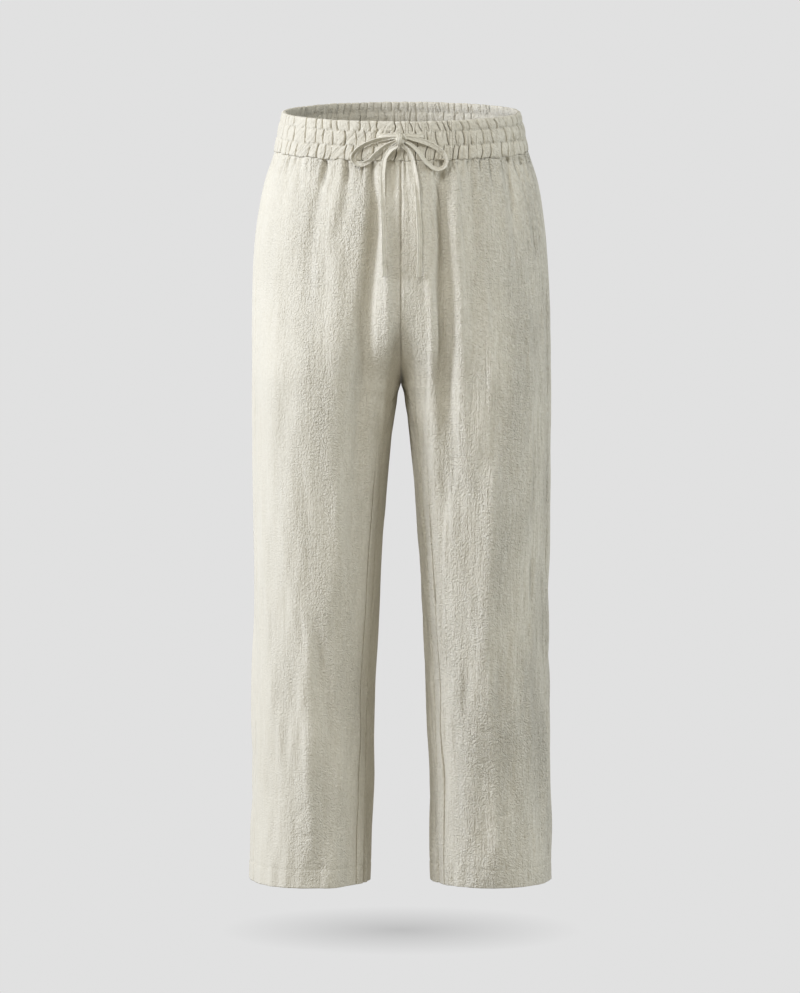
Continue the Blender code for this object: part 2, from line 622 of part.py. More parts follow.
def add_knot(material, collection):
    """The knot of the bow: a squeezed round wrap, a little taller than it is wide."""
    bpy.ops.mesh.primitive_uv_sphere_add(
        segments=KNOT_SEGMENTS,
        ring_count=KNOT_RINGS,
        radius=0.5,
        location=[MM * value for value in knot_centre()],
    )
    knot = bpy.context.object
    knot.name = knot.data.name = "drawstring_knot"
    knot.scale = [MM * size for size in KNOT_SIZE]
    knot.data.materials.append(material)
    knot.data.shade_smooth()
    for owner in list(knot.users_collection):
        owner.objects.unlink(knot)
    collection.objects.link(knot)
    return knot


def linen(name, colour):
    material = bpy.data.materials.new(name)
    material.use_nodes = True
    shader = material.node_tree.nodes["Principled BSDF"]
    shader.inputs["Base Color"].default_value = colour
    shader.inputs["Roughness"].default_value = 0.9
    shader.inputs["Metallic"].default_value = 0.0
    return material


def main():
    clear_scene()
    collection = bpy.data.collections.new(OBJECT_NAME)
    bpy.context.scene.collection.children.link(collection)
    halves = (
        ("left", False, FRONT_LEFT_FOLDS, BACK_LEFT_FOLDS),
        ("right", True, FRONT_RIGHT_FOLDS, BACK_RIGHT_FOLDS),
    )
    for side, mirrored, front_folds, back_folds in halves:
        for piece, rows_of in (
            ("front", front_panel_rows),
            ("back", back_panel_rows),
            ("pocket_facing", facing_rows),
        ):
            name = f"{piece}_{side}"
            outer, inner = rows_of(front_folds, back_folds)
            loft_wall(name, outer, inner, mirrored, linen(name, LINEN_COLOUR), collection)
    add_waistband(linen("waistband", LINEN_COLOUR), collection)
    for name, stops in (
        ("drawstring_lead_left", LEFT_LEAD),
        ("drawstring_lead_right", RIGHT_LEAD),
        ("drawstring_loop_left", LEFT_LOOP),
        ("drawstring_loop_right", RIGHT_LOOP),
        ("drawstring_tail_left", LEFT_TAIL),
        ("drawstring_tail_right", RIGHT_TAIL),
    ):
        add_tape(name, stops, linen(name, TAPE_COLOUR), collection)
    add_knot(linen("drawstring_knot", TAPE_COLOUR), collection)


main()
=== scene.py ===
"""Linen drawstring trousers in their worn shape: crinkled cloth, gathered waistband, bow and stitching.

+Z is up, the front faces -Y and +X is the wearer's left. The tables are in millimetres and every mesh is
made in metres. The cloth follows the same sections and main folds as the solids that it stands for.
"""

import math
from collections import namedtuple

import bpy
import numpy as np
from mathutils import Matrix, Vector


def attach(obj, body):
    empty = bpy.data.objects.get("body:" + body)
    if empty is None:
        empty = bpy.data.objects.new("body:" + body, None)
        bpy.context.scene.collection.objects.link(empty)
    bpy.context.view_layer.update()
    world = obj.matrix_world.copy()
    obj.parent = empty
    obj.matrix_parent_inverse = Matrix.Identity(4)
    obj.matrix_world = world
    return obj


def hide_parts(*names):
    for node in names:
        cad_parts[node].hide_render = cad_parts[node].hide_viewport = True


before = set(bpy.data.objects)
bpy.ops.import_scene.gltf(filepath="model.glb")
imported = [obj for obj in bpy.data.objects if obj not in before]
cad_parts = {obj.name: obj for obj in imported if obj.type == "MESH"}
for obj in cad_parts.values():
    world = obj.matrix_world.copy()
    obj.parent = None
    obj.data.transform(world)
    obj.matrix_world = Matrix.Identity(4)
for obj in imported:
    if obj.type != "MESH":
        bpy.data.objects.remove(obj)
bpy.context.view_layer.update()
MM = 0.001

# The camera stands where the photograph's did: straight ahead and a little above the waist
CAMERA_AWAY = 7.0
CAMERA_ASIDE = -0.0013
CAMERA_HEIGHT = 0.3055
CAMERA_PITCH = 6.3355
CAMERA_LENS = 196.785
CAMERA_SEES = 1000.0
FLOOR_BELOW_HEM = 60.0
FLOOR_SIZE = 400.0
FLOOR_GLOW = 0.752
# The shadow below the garment is painted into the floor's glow: a soft oval's centre, reach, depth and fall
SHADOW_CENTRE = (0.0, -0.05, 0.0)
SHADOW_REACH = (0.235, 0.17, 1.0)
SHADOW_DEPTH = 0.31
SHADOW_FALL = 1.1
# The lamps, in metres and watts, and the even light all round
Lamp = namedtuple("Lamp", "name colour power place size")
LAMPS = (
    Lamp("key", (0.92, 1.0, 1.22), 95, (-3.30, -0.98, 0.65), 1.1),
    Lamp("front fill", (0.97, 1.0, 1.06), 50, (-1.30, -2.20, 2.15), 0.9),
    Lamp("right fill", (0.90, 1.0, 1.15), 58, (3.47, -0.62, 0.25), 1.3),
)
LAMPS_AIM = (0, 0, -0.4)
ROOM_COLOUR = (1.0, 0.980, 0.905, 1)
ROOM_LIGHT = 0.42

# Cloth walls, seams and heights, as in the solids
CLOTH = 1.4
HEM_CLOTH = 2.6
HEM_TURN_UP = 24.0
SEAM_GAP = 0.3
MIDDLE_GAP = 0.06
RIM_Z = 27.0
BAND_SEAM_Z = -23.0
FORK_TOP_Z = -190.0
CROTCH_Z = -322.0
HEM_Z = -973.0
WAIST_TILT = 0.077
TILT_ENDS_Z = -160.0
TILT_PASSES = 3
SIDE_SEAM_AT_HIP = 13.0
SIDE_SEAM_AT_LEG = 18.0
INSEAM_AT_LEG = 28.0
INSEAM_SETTLES_Z = -350.0


def table(kind, rows):
    """A table whose rows are all of one kind."""
    return tuple(kind(*row) for row in rows)


Section = namedtuple("Section", "z outer inner front back middle round_out round_in")
SECTIONS = table(Section, (
    (27, 152.4, 0.0, 107.5, 107.5, 0, 2.00, 2.4),
    (5, 157.6, 0.0, 109.0, 109.0, 0, 2.00, 2.4),
    (-23, 163.5, 0.0, 110.5, 111.5, 0, 2.02, 2.4),
    (-60, 174.4, 0.0, 113.5, 117.5, 0, 2.06, 2.4),
    (-100, 182.9, 0.0, 116.5, 124.0, 0, 2.10, 2.4),
    (-150, 189.2, 0.0, 118.0, 130.0, 0, 2.12, 2.4),
    (-200, 192.0, 0.0, 117.0, 132.0, -1, 2.14, 2.4),
    (-260, 193.1, 0.0, 110.0, 132.0, -5, 2.14, 2.5),
    (-322, 193.4, 0.4, 99.0, 131.0, -9, 2.14, 2.6),
    (-334, 193.3, 4.2, 98.0, 129.0, -9, 2.13, 2.6),
    (-350, 193.1, 6.4, 97.0, 126.0, -9, 2.12, 2.6),
    (-385, 193.1, 11.7, 95.5, 119.0, -8, 2.10, 2.5),
    (-463, 192.7, 18.4, 93.0, 108.0, -6, 2.06, 2.4),
    (-541, 191.6, 24.1, 90.5, 99.0, -4, 2.04, 2.3),
    (-620, 191.3, 28.5, 88.0, 92.5, -2, 2.02, 2.2),
    (-738, 193.2, 34.1, 84.0, 86.0, 0, 2.00, 2.1),
    (-857, 194.7, 36.7, 80.5, 82.0, 0, 2.00, 2.0),
    (-973, 197.0, 39.6, 79.0, 79.5, 0, 2.00, 2.0),
))

# The main folds, which the solids have too. x is the distance from the middle plane, width is half the
# fold's width and push is how far it stands out, or in where it is negative.
Fold = namedtuple(
    "Fold",
    "top foot x_top x_mid x_foot width_top width_foot push_top push_mid push_foot",
)
FOLD_FADE = 40.0
FOLD_FACING = (0.15, 0.75)
FRONT_RIGHT_FOLDS = table(Fold, (
    (0, -75, 12, 12, 13, 6, 8, -4.0, -3.5, -2.0),
    (-60, -430, 18, 17, 24, 8, 12, 2.5, 5.0, 2.0),
    (0, -200, 37, 34, 42, 8, 15, -3.0, -9.0, -12.0),
    (-200, -600, 42, 52, 60, 15, 29, -12.0, -8.0, -1.0),
    (0, -140, 70, 70, 79, 6, 12, -3.5, -3.0, -1.0),
    (-70, -430, 84, 83, 81, 14, 22, 1.5, 3.0, 2.0),
    (0, -270, 94, 115, 121, 6, 16, -5.0, -3.5, -1.0),
    (0, -80, 111, 113, 116, 5, 7, -2.5, -2.0, -1.0),
    (0, -70, 127, 129, 131, 5, 7, -3.0, -2.5, -1.0),
    (0, -75, 142, 144, 147, 5, 7, -3.0, -2.0, -1.0),
    (-430, -600, 80, 80, 82, 12, 16, 2.5, 3.0, 1.5),
    (-630, -780, 108, 100, 92, 9, 12, -1.5, -2.5, -1.0),
    (-600, -940, 126, 118, 122, 16, 20, 2.5, 5.5, 2.5),
    (-890, -985, 86, 86, 88, 18, 20, 2.0, 3.0, 3.0),
))
FRONT_LEFT_FOLDS = table(Fold, (
    (-40, -170, 17, 20, 20, 8, 8, 2.0, 2.0, 1.0),
    (-180, -450, 37, 42, 42, 8, 12, 3.5, 5.0, 2.0),
    (0, -240, 49, 54, 59, 8, 16, -4.0, -11.0, -12.0),
    (-240, -480, 59, 62, 62, 16, 24, -12.0, -9.0, -3.0),
    (0, -80, 62, 62, 63, 6, 7, -3.0, -3.0, -1.0),
    (-40, -200, 69, 70, 74, 9, 12, 3.0, 4.0, 4.0),
    (-200, -440, 74, 76, 79, 12, 16, 4.0, 4.0, 2.5),
    (0, -60, 77, 77, 78, 5, 6, -2.5, -2.0, -1.0),
    (0, -160, 88, 92, 95, 6, 10, -3.0, -2.5, -1.5),
    (0, -70, 105, 106, 109, 5, 7, -2.5, -2.0, -1.0),
    (-170, -410, 107, 115, 114, 7, 9, 2.0, 2.5, 1.0),
    (0, -70, 118, 120, 122, 5, 7, -2.5, -2.0, -1.0),
    (0, -110, 131, 136, 142, 6, 9, -5.0, -4.0, -1.5),
    (0, -60, 146, 147, 149, 5, 6, -2.5, -2.0, -1.0),
    (-430, -520, 53, 53, 53, 9, 11, -2.5, -2.5, -1.0),
    (-430, -640, 117, 113, 108, 16, 18, 4.0, 5.0, 5.0),
    (-640, -860, 108, 99, 83, 18, 20, 5.0, 4.0, 2.5),
    (-655, -760, 124, 125, 126, 9, 10, -2.0, -2.5, -1.0),
    (-890, -960, 128, 127, 126, 16, 18, 2.0, 3.0, 2.5),
))
BACK_RIGHT_FOLDS = table(Fold, (
    (0, -90, 13, 14, 16, 6, 9, -3.5, -3.0, -1.0),
    (0, -70, 29, 30, 32, 5, 7, -3.0, -2.0, -1.0),
    (0, -420, 45, 47, 52, 7, 20, -3.5, -5.5, -5.0),
    (0, -80, 62, 63, 66, 5, 8, -3.0, -2.5, -1.0),
    (-100, -430, 76, 79, 81, 14, 20, 2.0, 3.0, 3.0),
    (0, -120, 81, 84, 88, 6, 10, -4.0, -3.0, -1.0),
    (0, -70, 99, 100, 103, 5, 7, -2.5, -2.0, -1.0),
    (0, -130, 114, 118, 124, 6, 10, -4.0, -3.0, -1.0),
    (0, -80, 133, 136, 139, 5, 7, -3.0, -2.0, -1.0),
    (-440, -700, 102, 96, 90, 16, 18, -2.0, -3.5, -1.0),
    (-480, -800, 60, 66, 76, 16, 18, 2.0, 3.5, 2.0),
    (-830, -960, 112, 114, 116, 16, 18, 1.0, 3.0, 2.0),
))
BACK_LEFT_FOLDS = table(Fold, (
    (0, -80, 16, 17, 19, 6, 8, -3.0, -2.5, -1.0),
    (0, -100, 33, 35, 38, 6, 9, -4.0, -3.0, -1.0),
    (0, -70, 50, 51, 53, 5, 7, -2.5, -2.0, -1.0),
    (-60, -440, 56, 54, 50, 12, 20, -2.0, -6.0, -4.0),
    (0, -110, 68, 70, 73, 6, 9, -4.0, -3.0, -1.0),
    (-120, -420, 88, 88, 86, 14, 20, 2.0, 3.5, 2.5),
    (0, -80, 88, 90, 93, 5, 8, -3.0, -2.0, -1.0),
    (0, -140, 106, 110, 116, 6, 10, -4.0, -3.0, -1.0),
    (0, -70, 124, 126, 129, 5, 7, -2.5, -2.0, -1.0),
    (0, -90, 141, 143, 147, 5, 8, -3.0, -2.0, -1.0),
    (-450, -660, 92, 90, 84, 16, 20, -2.0, -3.5, -1.0),
    (-500, -820, 118, 112, 102, 16, 18, 2.0, 3.5, 2.0),
    (-850, -965, 78, 80, 82, 16, 18, 1.0, 3.0, 2.0),
))

# Finer creases, one straight run each, from its upper end to its lower end. depth is how far it stands
# in, or out where it is negative. A crease runs out over a share of its length at each end.
Crease = namedtuple("Crease", "x z x_end z_end width depth")
CREASE_ENDS = 0.4
CREASE_FACING = (0.1, 0.5)
FRONT_RIGHT_CREASES = table(Crease, (
    (144, -30, 148, -60, 3.5, 1.6),
    (119, -34, 122, -64, 4.0, 1.4),
    (108, -34, 109, -58, 3.5, 1.2),
    (95, -30, 100, -70, 4.5, 2.2),
    (67, -34, 69, -66, 4.0, 1.6),
    (39, -40, 41, -78, 4.5, 1.4),
    (104, -96, 98, -190, 9, 0.9),
    (30, -108, 36, -156, 5, 1.2),
    (134, -600, 124, -668, 6, 1.0),
    (108, -620, 108, -676, 6, -1.1),
    (109, -682, 108, -718, 6, 1.1),
    (92, -664, 92, -762, 7, 1.1),
    (141, -906, 103, -902, 5, 1.0),
    (108, -940, 90, -952, 5, 1.0),
    (60, -560, 68, -640, 8, -0.9),
    (72, -780, 80, -860, 9, -1.0),
    (150, -330, 152, -420, 8, 0.7),
    (124, -420, 120, -520, 7, 0.8),
    (166, -480, 168, -620, 7, 0.8),
    (160, -700, 163, -830, 7, 0.8),
    (96, -250, 92, -330, 9, 0.8),
    (70, -660, 66, -760, 8, 0.7),
    (120, -860, 138, -884, 6, 0.8),
    (105, -500, 100, -1010, 15, -1.7),
))
FRONT_LEFT_CREASES = table(Crease, (
    (97, -768, 124, -766, 5, 0.9),
    (96, -808, 120, -806, 5, 0.8),
    (104, -832, 122, -838, 5, 0.7),
    (146, -868, 120, -884, 6, 1.1),
    (128, -884, 96, -862, 6, -0.9),
    (110, -898, 96, -908, 5, 0.8),
    (118, -906, 142, -948, 10, -1.3),
    (92, -900, 84, -950, 7, 0.9),
    (146, -640, 150, -740, 6, 0.9),
    (160, -700, 158, -800, 5, 1.5),
    (168, -520, 170, -640, 5, 1.5),
    (152, -430, 154, -540, 7, 0.7),
    (86, -560, 92, -640, 8, -1.0),
    (64, -620, 58, -700, 8, 0.8),
    (131, 10, 150, -170, 5, 2.6),
    (146, -8, 169, -74, 4, 2.0),
    (156, -20, 176, -74, 4, 1.6),
    (163, -52, 179, -104, 4, 2.2),
    (165, -88, 175, -170, 4, 2.6),
    (180, -120, 185, -185, 4, 2.0),
    (152, -150, 161, -250, 5, 1.8),
    (168, -200, 174, -310, 5, 1.9),
    (178, -300, 180, -430, 5, 1.6),
    (93, -150, 90, -240, 7, 0.9),
    (132, -240, 136, -330, 7, 0.8),
    (112, -330, 120, -430, 7, 0.9),
    (36, -60, 40, -140, 5, 1.2),
    (119, -380, 123, -930, 15, -1.6),
))
BACK_RIGHT_CREASES = table(Crease, (
    (24, -60, 27, -140, 6, 1.2),
    (96, -120, 100, -230, 8, 1.0),
    (130, -90, 140, -190, 7, 1.1),
    (150, -60, 160, -150, 6, 1.1),
    (36, -330, 80, -352, 9, 1.4),
    (44, -356, 96, -384, 9, 1.1),
    (52, -470, 60, -580, 8, 0.9),
    (120, -480, 126, -600, 8, 0.9),
    (64, -700, 96, -712, 7, 1.0),
    (84, -736, 118, -730, 7, 0.9),
    (98, -610, 92, -690, 8, -0.9),
    (140, -640, 144, -760, 7, 0.8),
    (74, -850, 70, -930, 8, 0.8),
    (126, -880, 112, -902, 6, 0.9),
))
BACK_LEFT_CREASES = table(Crease, (
    (28, -56, 30, -150, 6, 1.2),
    (104, -130, 110, -240, 8, 1.0),
    (134, -80, 146, -180, 7, 1.1),
    (152, -56, 164, -140, 6, 1.1),
    (34, -334, 76, -362, 9, 1.3),
    (50, -366, 92, -390, 9, 1.0),
    (58, -500, 62, -620, 8, 0.9),
    (130, -450, 134, -560, 8, 0.9),
    (70, -690, 104, -706, 7, 1.0),
    (92, -742, 122, -732, 7, 0.9),
    (86, -600, 82, -680, 8, -0.9),
    (146, -660, 150, -780, 7, 0.8),
    (66, -840, 72, -930, 8, 0.8),
    (104, -868, 128, -886, 6, 0.9),
))

# The fine crinkle of the washed cloth: sizes across and down, and how far each kind stands out
Grain = namedtuple("Grain", "across down height")
CRINKLE_STREAKS = Grain(4.6, 34.0, 0.12)
CRINKLE_PEBBLES = Grain(5.0, 8.0, 0.08)
CRINKLE_WAVES = Grain(11.0, 60.0, 0.85)
CRINKLE_ROLLS = Grain(24.0, 120.0, 1.1)
LOWER_ROLLS = 0.7
LOWER_ROLLS_FROM = (-680.0, -520.0)
CRINKLE_SWAY = Grain(42.0, 90.0, 5.0)
CRINKLE_PATCHES = Grain(38.0, 110.0, 1.0)
PEBBLES_SHOWN = (-0.5, 0.5)
CRINKLE_CLEAR_OF_SEAM = 6.0
CRINKLE_SIDES = Grain(5.0, 64.0, 0.55)
# The waistband's seam holds the crinkle flat: from how far under it the crinkle begins and is full
CRINKLE_HELD = (-0.5, 6.0)
SIDE_FACING = (0.35, 0.8)

# Points across a panel, and down it as (from, to, how many)
Mesh = namedtuple("Mesh", "columns rows")
FRONT_MESH = Mesh(168, ((-23, -60, 26), (-60, -948, 392), (-948, -973, 18)))
BACK_MESH = Mesh(130, ((-23, -60, 24), (-60, -948, 330), (-948, -973, 16)))
FRONT_SPLIT_X = 60.0
BACK_SPLIT_X = 70.0
HALF_RING_SAMPLES = 721

# Seams: the edge rolls in, and the cloth puckers beside it
SEAM_ROLL = 2.0
SEAM_ROLL_WIDTH = 1.5
# Along the middle seams the edge stays in the middle plane, within a strip, from a little under the crotch up
MIDDLE_STRIP = 5.0
MIDDLE_STRIP_FADE = 8.0
PUCKER = Grain(60.0, 8.0, 0.45)
PUCKER_WIDTH = 9.0
INSEAM_LINE_IN = 8.8
INSEAM_LINE_WIDTH = 0.65
INSEAM_LINE_DEPTH = 2.6
INSEAM_LINE_FROM = (-500.0, -390.0)
INSEAM_LINE_COLUMNS = (-2.0, -1.0, -0.4, 0.4, 1.0, 2.0)
HEM_STITCH_DIP = 0.5
HEM_STITCH_WIDTH = 2.0
HEM_STITCHES_BELOW = 1.5
# The front seam's topstitching: how far beside the seam, and its upper and lower end
FRONT_SEAM_STITCHES = (3.8, -30, -250)

POCKET_TOP_Z = -44.0
POCKET_FOOT_Z = -186.0
POCKET_FADE = 28.0
POCKET_LIP = 2.4
POCKET_LIP_WIDTH = 11.0
FACING_FRONT = 30.0
FACING_BACK = 9.0
FACING_CLOTH = 1.1
FACING_GAP = 0.6
FACING_COLUMNS = 26
FACING_ROWS = ((-36, -200, 80),)

# The waistband's two stitched rows part it in three tiers. Each tier has creases of its own: those of the
# front are listed as distances from the middle plane, and the sides and back go on unevenly.
BAND_STITCH_LEVELS = (14.0, -4.5)
Tier = namedtuple("Tier", "high low right left lean_right lean_left deepens")
BAND_TIERS = (
    Tier(
        27.0, 14.0,
        (9, 29, 40, 53, 66, 80, 88, 100, 108, 121, 137),
        (1, 12, 24, 34, 48, 55, 62, 76, 85, 99, 110, 119, 131, 141),
        1.6, 4.2, -0.2,
    ),
    Tier(
        14.0, -4.5,
        (14, 30, 46, 57, 72, 87, 98, 108, 122, 137),
        (4, 20, 33, 46, 60, 71, 79, 88, 104, 116, 132, 143),
        1.8, 2.2, 0.5,
    ),
    Tier(
        -4.5, -23.0,
        (8, 22, 36, 48, 62, 70, 90, 97, 106, 118, 133, 142),
        (6, 20, 33, 43, 53, 67, 74, 86, 102, 113, 129, 137, 144),
        -1.6, -3.4, 0.5,
    ),
)
BAND_STEP = (7.0, 16.0)
HIDDEN_CREASES_AT_MOST = 200
BAND_SEED = 40
BAND_FRONT_COLUMNS = 1080
BAND_BACK_COLUMNS = 560
BAND_OUTSIDE_ROWS = 42
BAND_INSIDE_ROWS = 15
BAND_RIM_ROWS = 3
BAND_WALL = 3.4
BAND_LEAST_WALL = 1.1
CREASE_DEPTH = (2.2, 7.0)
CREASE_WIDTH = (0.5, 0.85)
CREASE_BEND = (-2.2, 2.2)
CREASE_LEAN_MORE = (-1.2, 1.2)
CREASE_CUT = 0.75
CREASE_DEEPEST = -5.0
FINE_CREASE = Grain(4.0, 34.0, 1.0)
FINE_CREASE_PATCH = Grain(26.0, 16.0, 1.0)
FINE_CREASE_SHOWN = (-0.3, 0.5)
BAND_GRAINS = (Grain(2.8, 9.0, 0.2), Grain(7.0, 18.0, 0.3))
RIM_NOTCH = Grain(9.0, 60.0, 0.5)
RIM_NOTCH_REACH = 7.0
RIM_FOLLOWS_RELIEF = 0.3
FINE_CREASE_DEPTH = 1.0
FINE_CREASE_SHARPNESS = 0.16
CREASE_DYING = 0.8
INSIDE_ROW_PINCH = 1.6
CUSHION_SHARE = 0.06
CUSHION_HEIGHT = (0.3, 0.9)
CUSHION_ROUNDNESS = 0.6
ROW_PINCH = 0.55
ROW_PINCH_WIDTH = 1.3
ROW_BLEND = 2.0
# Each tier swells between its rows, but not behind the bow: how much on the wearer's right and left, how
# the one turns into the other, and the shares of a turn from the front's middle where it begins
TIER_SWELL = (0.25, 1.3)
TIER_SWELL_TURNS = (-0.6, 0.6)
TIER_SWELL_FROM = (0.055, 0.12)
BAND_FOOT_PINCH = 0.25
PANEL_TOP_PINCH = 0.15
ROW_FRILL = Grain(2.6, 26.0, 0.75)
ROW_FRILL_WIDTH = 2.8
INSIDE_SHARE = 0.7
GATHER_GROOVE_WIDTH = 2.1
GATHER_GROOVE_DEPTH = (2.2, 5.2)
GATHER_GROOVE_REACH = (14.0, 62.0)
GATHER_GROOVE_DRIFT = (-5.0, 5.0)
GATHER_GROOVE_FADE = 1.5
GATHER_GROOVE_SPREAD = 0.8
GATHER_SEED = 71
# The grooves are shallow at the seam itself, so that the panel stays under the waistband's foot
GATHER_GROOVE_AT_SEAM = 0.35
GATHER_GROOVE_FULL_BELOW = 4.5
SEAM_WAVE = Grain(8.0, 1000.0, 1.2)
SEAM_WAVE_REACH = 7.0
SEAM_WAVE_RADIUS = 130.0
SEAM_WAVE_FADE = (2.8, 3.1)

# The drawstring
TAPE_THICKNESS = 1.8
TAPE_RING_STEP = 1.1
TAPE_SAMPLE = 0.1
TAPE_WIDTH = 7.5
# Its section: how square its sides and its faces are, and how much thicker than the middle its edges are
TAPE_SECTION_POINTS = 32
TAPE_SIDE_POWER = 0.6
TAPE_FACE_POWER = 0.5
TAPE_EDGE = 0.80
TAPE_EDGE_BEAD = 0.17
TAPE_EDGE_THICKNESS = 1.15
TAPE_MIDDLE_THICKNESS = 0.28
TAPE_CURL = 0.35
TAPE_WAVE = Grain(7.0, 1.0, 0.35)
TAPE_NARROWING = Grain(9.0, 1.0, 0.05)
TAPE_FEWEST_RINGS = 6
TAPE_SEED = 300
# Its two rows of stitches: how far aside as a share of half the width, and how far out of half the thickness
TAPE_EDGE_LINE = 0.5
TAPE_EDGE_LINE_OUT = 0.62
KNOT_X = -1.0
KNOT_Z = -3.6
KNOT_OFF = 7.0
KNOT_SIZE = (12.0, 10.0, 15.0)
KNOT_SINK = 2.0
# Two folds of tape over the knot and the bundle inside it
KnotFold = namedtuple("KnotFold", "name offset height depth width tilt furrows")
KNOT_FOLDS = (
    KnotFold("knot_wrap", (-0.8, -1.2, -0.4), 14.8, 9.6, 6.6, 9, 2.0),
    KnotFold("knot_second_fold", (4.6, 0.2, 3.4), 8.0, 7.0, 5.0, -30, 1.0),
)
KNOT_FOLD_RINGS = 56
KNOT_FOLD_SECTION_POINTS = 20
KNOT_FOLD_WIDTH = 0.80
KNOT_FOLD_WIDER_IN_FRONT = 0.20
KNOT_FOLD_FLATTER_BEHIND = 0.8
KNOT_FOLD_SIDE_POWER = 0.7
KNOT_FOLD_FACE_POWER = 0.6
KNOT_FOLD_FURROW = 0.6
KNOT_FOLD_CROWN = 0.9
KNOT_CORE_SIZE = (5.6, 4.4, 6.4)
KNOT_CORE_AROUND = 40
KNOT_CORE_DOWN = 22
Stop = namedtuple("Stop", "x z off turn width")
LEFT_LOOP = table(Stop, (
    (0.0, -2.4, 7.6, 10, 4.2),
    (7.4, -1.2, 7.4, 5, 4.6),
    (16, -3.0, 5.6, -5, 6.0),
    (28, -6.5, 3.4, -10, 6.8),
    (41, -12, 2.8, -5, 6.8),
    (52, -20, 3.0, 20, 6.8),
    (58, -30, 2.8, 45, 6.8),
    (55.5, -38.5, 1.8, 50, 6.8),
    (47.5, -42, 2.0, 50, 6.8),
    (38, -38.5, 2.8, 50, 6.8),
    (29, -29, 4.4, 50, 6.8),
    (21.5, -19, 4.4, 45, 6.4),
    (13.5, -11.5, 4.4, 35, 5.4),
    (7.0, -7.4, 5.4, 25, 4.4),
    (0.5, -5.0, 6.4, 25, 4.2),
))
RIGHT_LOOP = table(Stop, (
    (-2.0, -2.4, 7.6, -20, 4.2),
    (-8.8, -1.2, 7.4, -25, 4.6),
    (-18, -2.0, 5.6, -38, 6.0),
    (-31, -4.5, 4.8, -42, 6.8),
    (-45, -9.5, 4.8, -42, 6.8),
    (-57, -18, 4.6, -45, 6.8),
    (-62, -27, 4.8, -45, 6.8),
    (-58.5, -33.5, 3.2, -25, 6.8),
    (-51, -35.5, 2.4, 0, 6.8),
    (-42, -32, 2.8, 25, 6.8),
    (-33.5, -23.5, 4.6, 42, 6.8),
    (-24, -14.5, 4.4, 48, 6.4),
    (-15, -9.0, 4.6, 40, 5.4),
    (-8.8, -6.8, 5.4, 20, 4.4),
    (-2.5, -5.0, 6.4, 0, 4.2),
))
LEFT_TAIL = table(Stop, (
    (-0.2, -7.2, 8.0, 5, 4.4),
    (3.2, -12.2, 7.8, 10, 4.8),
    (9, -17.5, 6.0, 30, 6.2),
    (14, -27, 4.8, 45, 7.0),
    (17.5, -41, 3.6, 40, 7.0),
    (20, -62, 4.9, 12, 7.0),
    (21.5, -90, 4.2, -12, 7.0),
    (23, -118, 4.0, -24, 7.0),
    (23.4, -148, 4.0, -26, 7.0),
    (22.4, -179, 3.2, -20, 7.2),
))
RIGHT_TAIL = table(Stop, (
    (-2.0, -7.2, 8.0, 0, 4.4),
    (-5.8, -12.2, 7.6, 8, 4.8),
    (-13, -17, 5.6, 20, 6.2),
    (-19.5, -26, 3.8, 30, 7.0),
    (-22.5, -40, 2.6, 20, 7.0),
    (-23.4, -62, 2.2, 5, 6.6),
    (-23.2, -90, 4.0, -20, 6.8),
    (-22.4, -118, 5.4, -32, 7.0),
    (-21.8, -148, 6.2, -36, 7.0),
    (-21.4, -177, 6.3, -30, 7.0),
))
LEFT_LEAD = table(Stop, (
    (28.6, 0.2, 1.0, 10, 5.0),
    (27.0, 0.3, 2.4, 20, 5.0),
    (22.0, 0.7, 3.6, 30, 4.8),
    (14.0, 1.4, 4.4, 30, 4.6),
    (7.0, 1.6, 5.0, 20, 4.4),
    (0.5, 0.0, 5.6, 0, 4.2),
))
RIGHT_LEAD = table(Stop, (
    (-28.6, 0.2, -0.1, -10, 5.0),
    (-27.0, 0.3, 1.8, -20, 5.0),
    (-23.0, 0.7, 3.4, -30, 4.8),
    (-15.5, 1.4, 4.4, -30, 4.6),
    (-8.6, 1.6, 5.0, -20, 4.4),
    (-2.5, 0.0, 5.6, 0, 4.2),
))

# Sewing thread
Sewing = namedtuple("Sewing", "pitch length radius")
CLOTH_SEWING = Sewing(3.0, 2.3, 0.28)
TAPE_SEWING = Sewing(2.2, 1.6, 0.17)
THREAD_SIDES = 6
# The rings of a stitch: where along it, how thick and how far out, as shares of its length and its radius
STITCH_RINGS = ((-0.5, 0.35, 0.0), (-0.3, 1.0, 0.5), (0.3, 1.0, 0.5), (0.5, 0.35, 0.0))

# The cloth's finish. Across the garment, by x in metres, the crinkle runs from smoother to rougher.
CRINKLE_SMOOTH_X = (-0.18, -0.11)
CRINKLE_SMOOTHEST = 0.35
CRINKLE_ROUGH_X = (0.05, 0.13)
CRINKLE_ROUGHEST = 1.75
STREAK_SHARE = 0.7
LINE_SHARPNESS = 14.0
LINE_SHARE = 0.14
SLUB_SHARES = (0.55, 0.15, 0.30)
WEAVE_WOBBLE = 3.0
WEAVE_THREADS = 1600.0
# Painted shade: the crinkle's mottle darkens the colour as if its hollows held shade
HOLLOW_SHADE_TINT = 0.7
# Painted shade in creases: where the surface's Pointiness is low the colour is mixed toward a dark brown
CREASE_SHADE_CURVE = (0.43, 0.495)
CREASE_SHADE_TINT = (0.6, 0.0)
CREASE_SHADE_COLOUR = (0.27, 0.24, 0.17, 1)
LINEN_FINISH = {
    "Roughness": 0.88,
    "Specular IOR Level": 0.25,
    "Sheen Weight": 0.12,
    "Sheen Roughness": 0.6,
}
THREAD_DEEP_SHARE = 0.8

TROUSERS = bpy.data.collections.new("trousers")
bpy.context.scene.collection.children.link(TROUSERS)


# Curves and fields

def smoothstep(low, high, at):
    t = np.clip((at - low) / (high - low), 0.0, 1.0)
    return t * t * (3 - 2 * t)


def hump(distance, width):
    """1 at no distance, falling smoothly to nothing over about two widths."""
    return np.exp(-((distance / width) ** 2))


def ridge(aside, half_width):
    """1 along the middle of a fold or crease, dying out at both sides of it."""
    return np.exp(-2 * (aside / half_width) ** 2)


